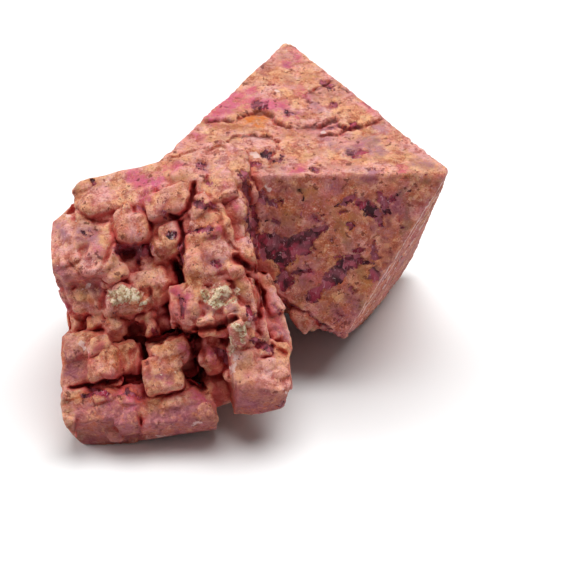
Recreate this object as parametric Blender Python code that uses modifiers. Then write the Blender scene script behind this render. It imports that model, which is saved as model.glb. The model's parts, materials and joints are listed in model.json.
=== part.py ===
"""Spinel crystal group: one large octahedron grown together with a blocky,
stepped crystal.  Metres, +Z up, origin at the bottom centre of the bounding box.

The group is laid out in a tilted working frame (u right, v up the slope,
w out of the slope) that hangs on one empty; every block of the stepped crystal
is a worn box given by the middle of its front face, its size and its turn in
that frame.  All of them grew as one piece, so they are joined into one solid.
"""

import itertools
import math
import random

import bmesh
import bpy
from mathutils import Matrix, Vector

MM = 0.001
FRAME_TILT = 60.0  # degrees the working frame leans back from the table
OCTA_CENTRE = (0.3, 8.2, 0.0)  # mm, working frame
OCTA_REACH = 23.4  # mm, centre to corner
OCTA_AXES = (  # crystal axes in the working frame
    (-0.6854, 0.1654, 0.7091),
    (0.7277, 0.1906, 0.6589),
    (-0.0262, 0.9676, -0.2510),
)
SIDE_FACE = (-1, 1, -1)  # signs of the face that grew in layers
SIDE_SETBACK = 0.38  # mm, how far that face stands back under its layers
TABLE_LEVEL = -7.1  # mm, height of the rest plane under the frame's origin
BREAKS = (  # point and normal of each broken face, working frame
    ((6.6, -5.0, 9.0), (-0.511, -0.851, 0.067)),
    ((8.4, -5.2, 4.0), (-0.10, -0.98, -0.10)),
)
EDGE_WEAR = 0.22  # mm, off the edges of the large octahedron
CORNER_WEAR = 0.7  # mm, off its corners
CRACKS = (  # runs across the upper face, mm in the working frame, with their widths
    (0.9, ((-5.7, 19.4, 7.7), (-3.7, 19.7, 7.3), (0.8, 18.5, 8.7), (3.7, 18.6, 8.5))),
    (0.5, ((3.7, 18.6, 8.5), (5.9, 18.1, 9.1), (8.2, 18.5, 8.5), (10.6, 19.5, 7.4))),
    (0.6, ((-13.4, 14.7, 13.3), (-9.8, 15.5, 12.4), (-7.2, 16.0, 11.7), (-4.7, 17.2, 10.3), (-1.6, 16.5, 11.0))),
    (0.6, ((1.8, 24.3, 1.7), (3.3, 23.6, 2.6), (4.9, 23.3, 2.9))),
)
SEED = 7

for old in list(bpy.data.objects):
    bpy.data.objects.remove(old)

group = bpy.data.collections.new("spinel_crystal_group")
helpers = bpy.data.collections.new("grown_blocks")
cutters = bpy.data.collections.new("break_cutters")
for c in (group, helpers, cutters):
    bpy.context.scene.collection.children.link(c)

frame = bpy.data.objects.new("working_frame", None)
frame.rotation_euler = (math.radians(FRAME_TILT), 0.0, 0.0)
group.objects.link(frame)


def object_from(bm, name, collection, helper):
    mesh = bpy.data.meshes.new(name)
    bmesh.ops.recalc_face_normals(bm, faces=bm.faces)
    bm.to_mesh(mesh)
    bm.free()
    obj = bpy.data.objects.new(name, mesh)
    collection.objects.link(obj)
    obj.parent = frame
    if helper:
        obj.hide_render = True
        obj.display_type = "WIRE"
    return obj


def slice_off(bm, point, normal):
    """Cuts the solid at a plane, drops what lies on the normal's side and closes the cut."""
    cut = bmesh.ops.bisect_plane(
        bm,
        geom=bm.verts[:] + bm.edges[:] + bm.faces[:],
        plane_co=point,
        plane_no=normal,
        clear_outer=True,
        dist=1e-7,
    )
    edges = [e for e in cut["geom_cut"] if isinstance(e, bmesh.types.BMEdge)]
    if edges:
        bmesh.ops.holes_fill(bm, edges=edges)


def wear(obj, width, segments=1):
    """Rounded edges, as weathering leaves them."""
    bevel = obj.modifiers.new("worn_edges", "BEVEL")
    bevel.width = width * MM
    bevel.segments = segments
    bevel.limit_method = "ANGLE"
    bevel.angle_limit = math.radians(25)
    bevel.use_clamp_overlap = True
    flat = obj.modifiers.new("flat_faces", "TRIANGULATE")
    flat.quad_method = "SHORTEST_DIAGONAL"


def octahedron(name, centre, reach, axes, edge_wear, corner_wear, collection, helper, layer=None):
    """A box cut by the eight octahedral planes, then along its edges and at its
    corners, where it is worn.  The faces grew a little unevenly.
    layer: (signs of one plane, rise, inset) gives instead a growth layer on that
    plane, raised over it and standing back from the other planes."""
    r = random.Random(f"{SEED}{name}")
    bm = bmesh.new()
    bmesh.ops.create_cube(bm, size=2.6 * reach * MM)
    turn = Matrix(axes).transposed()
    signs = [Vector(s) for s in itertools.product((1, 0, -1), repeat=3)]
    kinds = [(0, 1 / math.sqrt(3), 0), (1, 1 / math.sqrt(2), edge_wear), (2, 1, corner_wear)]
    for zeros, share, worn in kinds[:1] if layer else kinds:
        for s in signs:
            if list(s).count(0) == zeros:
                normal = turn @ s.normalized()
                normal = (normal + Vector([r.uniform(-0.004, 0.004) for _ in range(3)])).normalized()
                distance = reach * share - worn
                if layer:
                    distance += layer[1] if tuple(s) == layer[0] else -layer[2]
                elif tuple(s) == SIDE_FACE and zeros == 0:
                    distance -= SIDE_SETBACK * reach / OCTA_REACH
                slice_off(bm, normal * (distance * MM), normal)
    obj = object_from(bm, name, collection, helper)
    obj.location = Vector(centre) * MM
    return obj


def block(name, front, size, roll=13, pitch=0, yaw=0, worn=0.35, lean=3.5, cuts=()):
    """A worn box.  front: middle of its front face; size: width, height, depth;
    roll turns it in the frame's plane, pitch tips its front up, yaw turns its
    front to the right, lean is how far its faces stray from square, in degrees.
    cuts: (point, normal) in the box's own axes, the point as shares of its half
    sizes, each taking off one corner or edge."""
    r = random.Random(f"{SEED}{name}")
    bm = bmesh.new()
    bmesh.ops.create_cube(bm, size=4 * max(size) * MM)
    half = Vector(size) * MM / 2
    stray = math.tan(math.radians(lean))
    for axis in range(3):
        for side in (1, -1):
            normal = Vector([r.uniform(-stray, stray) for _ in range(3)])
            normal[axis] = side
            slice_off(bm, Vector([side * half[i] * (i == axis) for i in range(3)]), normal.normalized())
    for point, normal in cuts:
        slice_off(bm, Vector([p * h for p, h in zip(point, half)]), Vector(normal).normalized())
    for v in bm.verts:
        v.co.z -= half.z
    obj = object_from(bm, name, helpers, True)
    obj.location = Vector(front) * MM
    obj.rotation_euler = (math.radians(-pitch), math.radians(yaw), math.radians(roll))
    obj["size"] = size
    obj["turn"] = (roll, pitch, yaw)
    wear(obj, worn)
    return obj


def steps(body, side, count, size, out, deep, seed):
    """Rows of smaller worn blocks standing a little out of one side of a body.
    side: (axis, sign) in the body's own axes; count: rows along the other two."""
    r = random.Random(f"{SEED}{body.name}{seed}")
    made = body["size"]
    axis, sign = side
    others = [i for i in range(3) if i != axis]
    for i in range(count[0]):
        for j in range(count[1]):
            place = [0.0, 0.0, 0.0]
            place[axis] = sign * made[axis] / 2
            for o, n, c in zip(others, (i, j), count):
                place[o] = ((n + 0.5 + r.uniform(-0.38, 0.38)) / c - 0.5) * made[o] * 0.9
            own = [0.0, 0.0, 0.0]
            own[axis] = deep
            for o, c in zip(others, count):
                own[o] = made[o] / c * r.uniform(0.62, 1.45) * size
            place[axis] += sign * (r.uniform(*out) - deep / 2)
            place[2] += own[2] / 2 - made[2] / 2  # block() measures from the front face
            at = body.rotation_euler.to_matrix() @ Vector(place) + body.location / MM
            roll, pitch, yaw = body["turn"]
            block(
                f"{body.name}_{seed}_{i}{j}", at, own,
                roll + r.uniform(-11, 11), pitch + r.uniform(-11, 11), yaw + r.uniform(-9, 9),
                min(0.5, min(own) * 0.14), 4,
            )


def groove(name, start, end, facing, width):
    """A V-shaped crack along a face: a square rod turned on edge."""
    a, b = Vector(start), Vector(end)
    along = (b - a).normalized()
    up = Vector(facing).normalized()
    across = up.cross(along).normalized()
    up = along.cross(across)
    bm = bmesh.new()
    bmesh.ops.create_cube(bm, size=1.0)
    side = width / math.sqrt(2)
    for v in bm.verts:
        v.co = Vector((v.co.x * ((b - a).length + 0.4 + width / 3), v.co.y * side, v.co.z * side)) * MM
    obj = object_from(bm, name, cutters, True)
    turn = Matrix((along, across, up)).transposed().to_4x4() @ Matrix.Rotation(math.radians(45), 4, "X")
    obj.matrix_local = Matrix.Translation((a + b) / 2 * MM) @ turn
    return obj


# ---- the large octahedron ------------------------------------------------------
def break_corner(obj, back):
    """Its lower corner broke away: two rough planes in place of the point."""
    bm = bmesh.new()
    bm.from_mesh(obj.data)
    for point, normal in BREAKS:
        normal = Vector(normal).normalized()
        slice_off(bm, (Vector(point) - Vector(OCTA_CENTRE) - normal * back) * MM, normal)
    bm.to_mesh(obj.data)
    bm.free()


great = octahedron("spinel_crystal", OCTA_CENTRE, OCTA_REACH, OCTA_AXES, EDGE_WEAR, CORNER_WEAR, group, False)
break_corner(great, 0.0)

for i, (rise, inset) in enumerate(((-0.18, 0.6), (0.02, 1.5), (0.2, 2.9))):
    layer = octahedron(
        f"side_layer_{i}", OCTA_CENTRE, OCTA_REACH, OCTA_AXES, 0, 0, helpers, True, (SIDE_FACE, rise, inset)
    )
    break_corner(layer, 0.4 + i)

# ---- the stepped crystal: body ---------------------------------------------------
upper = block("body_upper", (-14.2, 5.4, 14.0), (19.4, 12.4, 19.0), 13, 12, 0, 0.8)
lower = block("body_lower_left", (-18.4, -8.0, 13.2), (11.2, 13.0, 13.0), 11, 12, 0, 0.8)
right = block("body_lower_right", (-6.2, -3.2, 13.0), (9.0, 10.4, 13.0), 14, 6, 4, 0.6)
block("body_foot", (-19.6, -11.4, 15.4), (8.4, 7.0, 8.0), 6, 18, 0, 0.6)
steps(upper, (0, -1), (3, 4), 1.0, (0.4, 1.8), 5.0, "left")
steps(upper, (2, -1), (4, 3), 1.0, (0.3, 1.8), 5.0, "back")
steps(upper, (1, 1), (4, 3), 1.0, (-0.3, 0.9), 4.0, "top")
steps(lower, (0, -1), (3, 3), 1.0, (0.0, 1.0), 4.0, "left")
steps(lower, (2, -1), (3, 3), 1.0, (0.2, 1.4), 4.0, "back")
steps(right, (1, -1), (3, 3), 1.0, (0.0, 1.2), 4.0, "under")

# ---- the stepped crystal: blocks of its front, from the top ----------------------
block("top_bar", (-14.2, 12.0, 17.0), (19.4, 5.6, 7.5), 13, 34, 0, 0.6, cuts=[((-0.8, 1, 1), (-1, 1, 0.3)), ((0.8, 1, 1), (1, 1, 0.2))])
block("side_slab", (-5.8, 7.7, 18.7), (4.0, 10.2, 6.0), 6, 13, 8, 0.6)
block("left_shoulder", (-22.1, 5.0, 18.2), (6.5, 6.9, 8.0), 9, 13, -14, 0.9, cuts=[((-0.7, 1, 1), (-1, 1.2, 0.2)), ((-0.6, -1, 1), (-1, -1, 0.2)), ((0.7, -1, 1), (1, -1, 0.2))])
block("left_foot", (-23.2, -0.1, 15.8), (4.8, 6.2, 9.0), 16, -12, -10, 0.8)
block("nub_1", (-16.9, 6.7, 18.7), (3.9, 3.0, 4.0), 10, 22, 0, 0.35, cuts=[((-1, -0.3, 1), (-1, -1, 0))])
block("nub_2", (-13.1, 5.8, 18.7), (3.2, 4.4, 4.0), 24, 14, -8, 0.25, cuts=[((-0.5, -1, 1), (-1, -1, 0.2))])
block("knob_high", (-9.3, 7.6, 19.6), (4.5, 3.9, 5.0), 26, 24, -4, 0.5)
block("knob_low", (-8.5, 3.4, 20.6), (5.7, 5.6, 7.0), 15, 8, 4, 0.8, cuts=[((-0.6, 1, 1), (-1, 1, 0.3)), ((0.8, -1, 1), (1, -1, 0.3))])
block("mid_plate", (-17.6, 1.8, 16.4), (9.4, 4.8, 4.0), 12, 22, 0, 0.4)
block("mid_lump", (-14.0, 0.9, 17.4), (3.4, 3.4, 4.0), 16, 16, 0, 0.5)
block("pale_cube", (-21.5, -0.4, 17.5), (3.6, 3.0, 4.0), 8, 20, -10, 0.5)
block("mica_lump", (-17.5, -0.9, 17.7), (4.4, 3.0, 4.0), 8, 20, 0, 0.5)
block("crumb_shelf", (-18.6, -3.2, 15.8), (9.8, 3.6, 4.0), 10, 14, 0, 0.5)
block("crumb_1", (-20.4, -3.4, 16.6), (2.8, 2.2, 3.0), 4, 20, -8, 0.4)
block("crumb_2", (-14.6, -3.2, 16.8), (3.0, 2.0, 3.0), 14, 10, 8, 0.35)
block("heart_block", (-8.0, -1.5, 21.0), (8.8, 4.6, 6.8), 5, 10, 2, 0.45, cuts=[((-0.72, -1, 1), (-1, -0.55, 0.1)), ((0.7, -1, 1), (0.7, -1, 0.1))])
block("right_rib", (-4.4, -1.7, 18.6), (2.6, 7.8, 6.0), 9, 6, 6, 0.35)
block("right_slab", (-2.1, -2.5, 15.6), (2.7, 9.2, 6.0), 18, 5, 14, 0.4, cuts=[((0.6, 1, 1), (1, 1, 0.1)), ((-0.5, -1, 1), (-1, -1, 0.1))])
block("low_right_block", (-3.4, -7.7, 19.3), (6.6, 6.0, 5.6), -5, 36, 4, 0.5, cuts=[((-0.5, 1, 1), (-1, 1.1, 0)), ((0.8, -1, 0), (1, -1, 0))])
block("red_block_1", (-9.0, -5.9, 17.0), (2.1, 3.4, 4.0), 12, 8, -10, 0.25)
block("red_block_2", (-7.1, -6.6, 16.7), (2.3, 3.0, 4.0), -12, 12, 8, 0.25)
block("small_round", (-8.0, -9.9, 15.6), (2.7, 2.8, 4.5), 10, 10, 0, 0.5)
block("small_dark", (-11.4, -7.9, 13.8), (3.0, 2.6, 6.0), 14, 10, 0, 0.3)
block("wedge", (-13.2, -5.8, 17.3), (4.3, 2.1, 4.0), 18, 36, 0, 0.3)
block("centre_cube", (-13.4, -8.9, 19.4), (3.8, 3.5, 5.5), 10, 8, 4, 0.3)
block("left_block", (-22.0, -7.4, 17.7), (5.3, 5.6, 6.0), 4, 8, -12, 0.7, cuts=[((0, -0.75, 1), (0.3, -1, 0.7))])
block("left_column_1", (-18.7, -7.3, 16.8), (1.9, 3.6, 5.0), 8, 12, 0, 0.3)
block("left_column_2", (-17.0, -7.7, 16.6), (2.0, 3.8, 5.0), 8, 10, 4, 0.3)
block("low_left_block", (-20.0, -11.8, 18.4), (8.6, 4.0, 6.8), 4, 35, -4, 0.6, cuts=[((-0.9, -1, 0.2), (-1, -0.8, -0.3))])
block("low_mid_block", (-11.6, -11.9, 18.2), (8.2, 4.7, 5.2), 7, 31, 4, 0.4, cuts=[((0.55, 1, 1), (1, 1, 0))])
octahedron("gap_crystal", (1.7, -2.8, 8.6), 2.4, OCTA_AXES, 0.1, 0.2, helpers, True)
block("gap_root", (2.8, -1.5, 9.0), (3.4, 3.2, 4.5), 30, 12, 0, 0.3)

# ---- small crystals under the back of the large one, which it stands on ----------
octahedron("heel_right", (7.5, 0.8, -12.3), 6.0, OCTA_AXES, 0.15, 0.5, helpers, True)
octahedron("heel_left", (-4.2, 1.4, -13.2), 5.8, OCTA_AXES, 0.15, 0.5, helpers, True)

MATRIX = (  # x, y from the frame's origin along the table, width, length, thickness, turn
    (-6.5, 12.0, 6.5, 5.5, 3.0, 20),
    (-1.0, 9.5, 6.0, 5.0, 3.4, -15),
    (3.4, 6.4, 5.0, 4.4, 2.9, 35),
    (6.0, 9.8, 4.6, 4.4, 3.2, 8),
    (1.6, 13.6, 6.4, 5.0, 2.8, -28),
    (6.6, 14.6, 5.4, 5.0, 3.0, 40),
)
lean = math.radians(FRAME_TILT)
for i, (x, y, width, length, thick, turned) in enumerate(MATRIX):
    z = TABLE_LEVEL + thick
    lump = block(
        f"matrix_{i}",
        (x, y * math.cos(lean) + z * math.sin(lean), z * math.cos(lean) - y * math.sin(lean)),
        (width, length, thick + 1.0), 0, 0, 0, 0.5, 9,
    )
    lump.rotation_euler = (Matrix.Rotation(-lean, 3, "X") @ Matrix.Rotation(math.radians(turned), 3, "Z")).to_euler()

# ---- cracks across the upper face of the large crystal ---------------------------
upward = Matrix(OCTA_AXES).transposed() @ Vector((1, 1, 1))
cracks = bpy.data.collections.new("cracks")
cutters.children.link(cracks)
for i, (width, points) in enumerate(CRACKS):
    for j, (start, end) in enumerate(zip(points, points[1:])):
        rod = groove(f"crack_{i}_{j}", start, end, upward, width + 0.1 * (j % 2))
        if (i, j) == (0, 0):
            crack = rod
        else:
            cutters.objects.unlink(rod)
            cracks.objects.link(rod)
merge = crack.modifiers.new("one_cutter", "BOOLEAN")
merge.operation = "UNION"
merge.operand_type = "COLLECTION"
merge.collection = cracks
merge.solver = "EXACT"
split = great.modifiers.new("cracks", "BOOLEAN")
split.operation = "DIFFERENCE"
split.object = crack
split.solver = "EXACT"

# ---- join everything, rest it on the table, centre it on the origin --------------
join = great.modifiers.new("grown_together", "BOOLEAN")
join.operation = "UNION"
join.operand_type = "COLLECTION"
join.collection = helpers
join.solver = "EXACT"

bm = bmesh.new()
bmesh.ops.create_cube(bm, size=1.0)
for v in bm.verts:
    v.co = Vector((v.co.x * 90, v.co.y * 90, v.co.z * 20 - 10)) * MM
table = object_from(bm, "table_cutter", cutters, True)
table.parent = None
table.location = (0, 0, TABLE_LEVEL * MM)
rest = great.modifiers.new("rest_plane", "BOOLEAN")
rest.operation = "DIFFERENCE"
rest.object = table
rest.solver = "EXACT"

bpy.context.view_layer.update()
graph = bpy.context.evaluated_depsgraph_get()
solid = bpy.data.meshes.new_from_object(great.evaluated_get(graph))
solid.transform(great.matrix_world)
great.modifiers.clear()
great.parent = None
great.location = (0, 0, 0)
great.data = solid
low = [min(v.co[i] for v in solid.vertices) for i in range(3)]
high = [max(v.co[i] for v in solid.vertices) for i in range(3)]
shift = Vector((-(low[0] + high[0]) / 2, -(low[1] + high[1]) / 2, -low[2]))
solid.transform(Matrix.Translation(shift))
bm = bmesh.new()
bm.from_mesh(solid)
bmesh.ops.remove_doubles(bm, verts=bm.verts, dist=2e-7)
bm.to_mesh(solid)
bm.free()
print("shift_mm", [round(x / MM, 3) for x in shift], "size_mm", [round((h - l) / MM, 2) for l, h in zip(low, high)])

crust = bpy.data.materials.new("weathered_spinel")
crust.use_nodes = True
shader = crust.node_tree.nodes["Principled BSDF"]
shader.inputs["Base Color"].default_value = (0.52, 0.20, 0.15, 1.0)
shader.inputs["Roughness"].default_value = 0.75
shader.inputs["Metallic"].default_value = 0.0
solid.materials.clear()
solid.materials.append(crust)
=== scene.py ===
"""Looks of the spinel crystal group: a large octahedron and a blocky, stepped
crystal grown together, under a rough orange crust with dark glassy patches.

Shapes are made in millimetres in the same tilted working frame as the part
(u right, v up the slope, w out of the slope) and turned into the row frame last.
"""

import itertools
import json
import math
import random
import time

import bmesh
import bpy
import numpy as np
from mathutils import Euler, Matrix, Vector
from mathutils.bvhtree import BVHTree

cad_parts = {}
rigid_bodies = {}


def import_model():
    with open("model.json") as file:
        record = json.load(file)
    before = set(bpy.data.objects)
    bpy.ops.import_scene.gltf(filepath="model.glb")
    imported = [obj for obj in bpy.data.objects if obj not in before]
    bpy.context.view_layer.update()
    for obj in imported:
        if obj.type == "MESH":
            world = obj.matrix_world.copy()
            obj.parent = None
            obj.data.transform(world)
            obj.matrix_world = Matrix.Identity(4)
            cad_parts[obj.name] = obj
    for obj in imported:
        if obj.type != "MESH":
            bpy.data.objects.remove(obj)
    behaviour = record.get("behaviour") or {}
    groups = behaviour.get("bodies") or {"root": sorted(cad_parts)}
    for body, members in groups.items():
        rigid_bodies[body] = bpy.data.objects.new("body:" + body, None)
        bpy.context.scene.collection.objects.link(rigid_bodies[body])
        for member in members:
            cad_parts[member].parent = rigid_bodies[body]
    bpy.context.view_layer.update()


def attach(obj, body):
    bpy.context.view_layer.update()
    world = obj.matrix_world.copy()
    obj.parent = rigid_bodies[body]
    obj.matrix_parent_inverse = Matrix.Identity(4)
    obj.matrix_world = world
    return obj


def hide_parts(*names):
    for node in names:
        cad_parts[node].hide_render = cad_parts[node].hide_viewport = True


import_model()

started = time.perf_counter()

TILT = math.radians(60)
SHIFT = Vector((4.515, 1.803, 7.1))  # mm, the working frame's origin in the row frame
EYE_W = 159.1  # mm, how far the camera stands out along w
OCTA_CENTRE = (0.3, 8.2, 0.0)
OCTA_REACH = 23.4
OCTA_AXES = (
    (-0.6854, 0.1654, 0.7091),
    (0.7277, 0.1906, 0.6589),
    (-0.0262, 0.9676, -0.2510),
)
SIDE_FACE = (-1, 1, -1)
BREAKS = (
    ((6.6, -5.0, 9.0), (-0.511, -0.851, 0.067)),
    ((8.4, -5.2, 4.0), (-0.10, -0.98, -0.10)),
)
BREAK_SHIFT = (0.65, -0.4)  # mm, how far each break stands out past its plane
SEED = 7

TO_ROW = Matrix.Translation(SHIFT) @ Matrix.Rotation(TILT, 4, "X")
UP = np.array((0.0, math.sin(TILT), math.cos(TILT)))  # the row frame's +Z in the working frame


# ---- noise, on arrays of points --------------------------------------------------
def hashed(ix, iy, iz, seed):
    h = (ix * 73856093) ^ (iy * 19349663) ^ (iz * 83492791) ^ (seed * 1640531527)
    h = (h ^ (h >> 15)) * 2246822519 & 0xFFFFFFFF
    h = (h ^ (h >> 13)) * 3266489917 & 0xFFFFFFFF
    return h ^ (h >> 16)


_r = np.random.default_rng(5)
_DIRS = _r.normal(size=(256, 3))
_DIRS /= np.linalg.norm(_DIRS, axis=1)[:, None]


def gradient_noise(p, seed=0):
    """Smooth noise of about -1 to 1, features about one unit across."""
    base = np.floor(p).astype(np.int64)
    f = p - base
    s = f * f * f * (f * (f * 6 - 15) + 10)
    out = np.zeros(len(p))
    for dx, dy, dz in itertools.product((0, 1), repeat=3):
        g = _DIRS[hashed(base[:, 0] + dx, base[:, 1] + dy, base[:, 2] + dz, seed) & 255]
        d = f - (dx, dy, dz)
        w = (s[:, 0] if dx else 1 - s[:, 0]) * (s[:, 1] if dy else 1 - s[:, 1]) * (s[:, 2] if dz else 1 - s[:, 2])
        out += w * (g * d).sum(1)
    return out * 1.6


def fractal(p, size, octaves=3, seed=0, gain=0.5):
    """Sum of octaves; size: width in mm of the largest features."""
    out, a, total = np.zeros(len(p)), 1.0, 0.0
    for i in range(octaves):
        out += a * gradient_noise(p / size * 2**i + 17.3 * i, seed + i)
        total += a
        a *= gain
    return out / total


def cells(p, size, seed=0):
    """Distance to the nearest and second nearest cell point, and the nearest one's own number."""
    q = p / size
    base = np.floor(q).astype(np.int64)
    near = np.full(len(p), 9.0)
    second = np.full(len(p), 9.0)
    own = np.zeros(len(p))
    for d in itertools.product((-1, 0, 1), repeat=3):
        c = base + d
        h = hashed(c[:, 0], c[:, 1], c[:, 2], seed)
        point = c + np.stack([(h & 1023) / 1023, (h >> 10 & 1023) / 1023, (h >> 20 & 1023) / 1023], 1)
        dist = np.linalg.norm(q - point, axis=1)
        closer = dist < near
        second = np.where(closer, near, np.minimum(second, dist))
        own = np.where(closer, (h >> 7 & 4095) / 4095, own)
        near = np.where(closer, dist, near)
    return near * size, second * size, own


def smooth(x, a, b):
    t = np.clip((x - a) / (b - a), 0, 1)
    return t * t * (3 - 2 * t)


# ---- where a point of the working frame is seen from the front -------------------
def seen(p):
    """Across and down of each point as it is seen, in steps of about 0.11 mm."""
    k = EYE_W / (EYE_W - p[:, 2]) / 0.12
    return np.stack([290 + p[:, 0] * k, 290 - p[:, 1] * k], 1)


def to_line(q, points):
    """Distance of seen points to a run of straight lines."""
    best = np.full(len(q), 1e9)
    points = np.array(points, float)
    if len(points) == 1:
        return np.linalg.norm(q - points[0], axis=1)
    for a, b in zip(points, points[1:]):
        t = np.clip(((q - a) @ (b - a)) / max((b - a) @ (b - a), 1e-9), 0, 1)
        best = np.minimum(best, np.linalg.norm(q - a - t[:, None] * (b - a), axis=1))
    return best


def inside(q, points):
    """Distance to the outline of a polygon, positive inside."""
    points = np.array(points, float)
    d = to_line(q, np.vstack([points, points[:1]]))
    odd = np.zeros(len(q), bool)
    for a, b in zip(points, np.roll(points, -1, 0)):
        crosses = (a[1] > q[:, 1]) != (b[1] > q[:, 1])
        x = a[0] + (q[:, 1] - a[1]) * (b[0] - a[0]) / (b[1] - a[1] if b[1] != a[1] else 1e-9)
        odd ^= crosses & (q[:, 0] < x)
    return np.where(odd, d, -d)


def marks(q, shapes):
    """Highest signed reach into any of the shapes: (radius, points) is a run with
    that half width, (0, points) a filled outline."""
    out = np.full(len(q), -30.0)
    for radius, points in shapes:
        out = np.maximum(out, inside(q, points) if radius == 0 else radius - to_line(q, points))
    return out


# ---- solids ----------------------------------------------------------------------
scratch = bpy.data.collections.new("scratch")
bpy.context.scene.collection.children.link(scratch)


def slice_off(bm, point, normal):
    cut = bmesh.ops.bisect_plane(
        bm, geom=bm.verts[:] + bm.edges[:] + bm.faces[:], plane_co=point, plane_no=normal, clear_outer=True, dist=1e-5
    )
    edges = [e for e in cut["geom_cut"] if isinstance(e, bmesh.types.BMEdge)]
    if edges:
        bmesh.ops.holes_fill(bm, edges=edges)


def arrays(bm):
    bmesh.ops.recalc_face_normals(bm, faces=bm.faces)
    bmesh.ops.triangulate(bm, faces=bm.faces)
    v = np.array([v.co for v in bm.verts], float)
    f = np.array([[v.index for v in face.verts] for face in bm.faces], int)
    bm.free()
    return v, f


def octahedron(name, centre, reach, axes, edge_wear, corner_wear, layer=None, breaks=0.0):
    r = random.Random(f"{SEED}{name}")
    bm = bmesh.new()
    bmesh.ops.create_cube(bm, size=2.6 * reach)
    turn = Matrix(axes).transposed()
    signs = [Vector(s) for s in itertools.product((1, 0, -1), repeat=3)]
    kinds = [(0, 1 / math.sqrt(3), 0), (1, 1 / math.sqrt(2), edge_wear), (2, 1, corner_wear)]
    for zeros, share, worn in kinds[:1] if layer else kinds:
        for s in signs:
            if list(s).count(0) == zeros:
                normal = turn @ s.normalized()
                normal = (normal + Vector([r.uniform(-0.004, 0.004) for _ in range(3)])).normalized()
                distance = reach * share - worn
                if layer:
                    distance += layer[1] if tuple(s) == layer[0] else -layer[2]
                elif tuple(s) == SIDE_FACE and zeros == 0:
                    distance -= 0.38 * reach / OCTA_REACH
                slice_off(bm, normal * distance, normal)
    if breaks is not None:
        for (point, normal), shift in zip(BREAKS, BREAK_SHIFT):
            normal = Vector(normal).normalized()
            slice_off(bm, Vector(point) - Vector(OCTA_CENTRE) + normal * (shift - breaks), normal)
    v, f = arrays(bm)
    return v + np.array(centre), f


BLOCKS = {}  # name: (place of the middle, rotation, size)


def block(name, front, size, roll=13, pitch=0, yaw=0, worn=0.35, lean=3.5, cuts=(), turn=None):
    r = random.Random(f"{SEED}{name}")
    bm = bmesh.new()
    bmesh.ops.create_cube(bm, size=4 * max(size))
    half = Vector(size) / 2
    stray = math.tan(math.radians(lean))
    for axis in range(3):
        for side in (1, -1):
            normal = Vector([r.uniform(-stray, stray) for _ in range(3)])
            normal[axis] = side
            slice_off(bm, Vector([side * half[i] * (i == axis) for i in range(3)]), normal.normalized())
    for point, normal in cuts:
        slice_off(bm, Vector([p * h for p, h in zip(point, half)]), Vector(normal).normalized())
    for v in bm.verts:
        v.co.z -= half.z
    turn = turn or Euler((math.radians(-pitch), math.radians(yaw), math.radians(roll))).to_matrix()
    v, f = arrays(bm)
    v = v @ np.array(turn).T + np.array(front)
    BLOCKS[name] = (Vector(front), turn, size, (roll, pitch, yaw))
    return v, f


def rounded(name, front, size, turn, power=3.0, fineness=3):
    """A block with swollen sides, the middle of its outer side at front."""
    r = random.Random(f"{SEED}{name}")
    bm = bmesh.new()
    bmesh.ops.create_icosphere(bm, subdivisions=fineness, radius=1.0)
    v, f = arrays(bm)
    v = v / (np.abs(v) ** power).sum(1)[:, None] ** (1 / power)
    skew = np.array([[1, r.uniform(-0.22, 0.22), r.uniform(-0.22, 0.22)], [0, 1, r.uniform(-0.22, 0.22)], [0, 0, 1]])
    v = (v @ skew.T) * np.array(size) / 2
    v = v + 0.16 * min(size) * np.stack([fractal(v + r.uniform(0, 50), 0.6 * min(size) + 0.5, 2, 100 + k) for k in range(3)], 1)
    v[:, 2] -= size[2] / 2
    return v @ np.array(turn).T + np.array(front), f


def steps(name, side, count, size, out, deep, seed):
    """Rows of smaller blocks standing a little out of one side of a body."""
    r = random.Random(f"{SEED}{name}{seed}")
    front, turn, made, (roll, pitch, yaw) = BLOCKS[name]
    axis, sign = side
    others = [i for i in range(3) if i != axis]
    found = []
    for i in range(count[0]):
        for j in range(count[1]):
            place = [0.0, 0.0, 0.0]
            place[axis] = sign * made[axis] / 2
            for o, n, c in zip(others, (i, j), count):
                place[o] = ((n + 0.5 + r.uniform(-0.38, 0.38)) / c - 0.5) * made[o] * 0.9
            own = [0.0, 0.0, 0.0]
            own[axis] = deep
            for o, c in zip(others, count):
                own[o] = made[o] / c * r.uniform(0.62, 1.45) * size
            place[axis] += sign * (r.uniform(*out) - deep / 2)
            place[2] += own[2] / 2 - made[2] / 2
            at = turn @ Vector(place) + front
            found.append(
                block(
                    f"{name}_{seed}_{i}{j}", at, own,
                    roll + r.uniform(-11, 11), pitch + r.uniform(-11, 11), yaw + r.uniform(-9, 9),
                    min(0.5, min(own) * 0.14), 4,
                )
            )
    return found


def joined(parts):
    vs, fs, n = [], [], 0
    for v, f in parts:
        vs.append(v)
        fs.append(f + n)
        n += len(v)
    return np.vstack(vs), np.vstack(fs)


def mesh_object(name, v, f):
    mesh = bpy.data.meshes.new(name)
    mesh.from_pydata(v.tolist(), [], f.tolist())
    mesh.update()
    obj = bpy.data.objects.new(name, mesh)
    scratch.objects.link(obj)
    return obj


def evaluated(obj):
    bpy.context.view_layer.update()
    mesh = obj.evaluated_get(bpy.context.evaluated_depsgraph_get()).to_mesh()
    mesh.calc_loop_triangles()
    v = np.empty(len(mesh.vertices) * 3)
    mesh.vertices.foreach_get("co", v)
    f = np.empty(len(mesh.loop_triangles) * 3, np.int32)
    mesh.loop_triangles.foreach_get("vertices", f)
    obj.evaluated_get(bpy.context.evaluated_depsgraph_get()).to_mesh_clear()
    return v.reshape(-1, 3), f.reshape(-1, 3)


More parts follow.
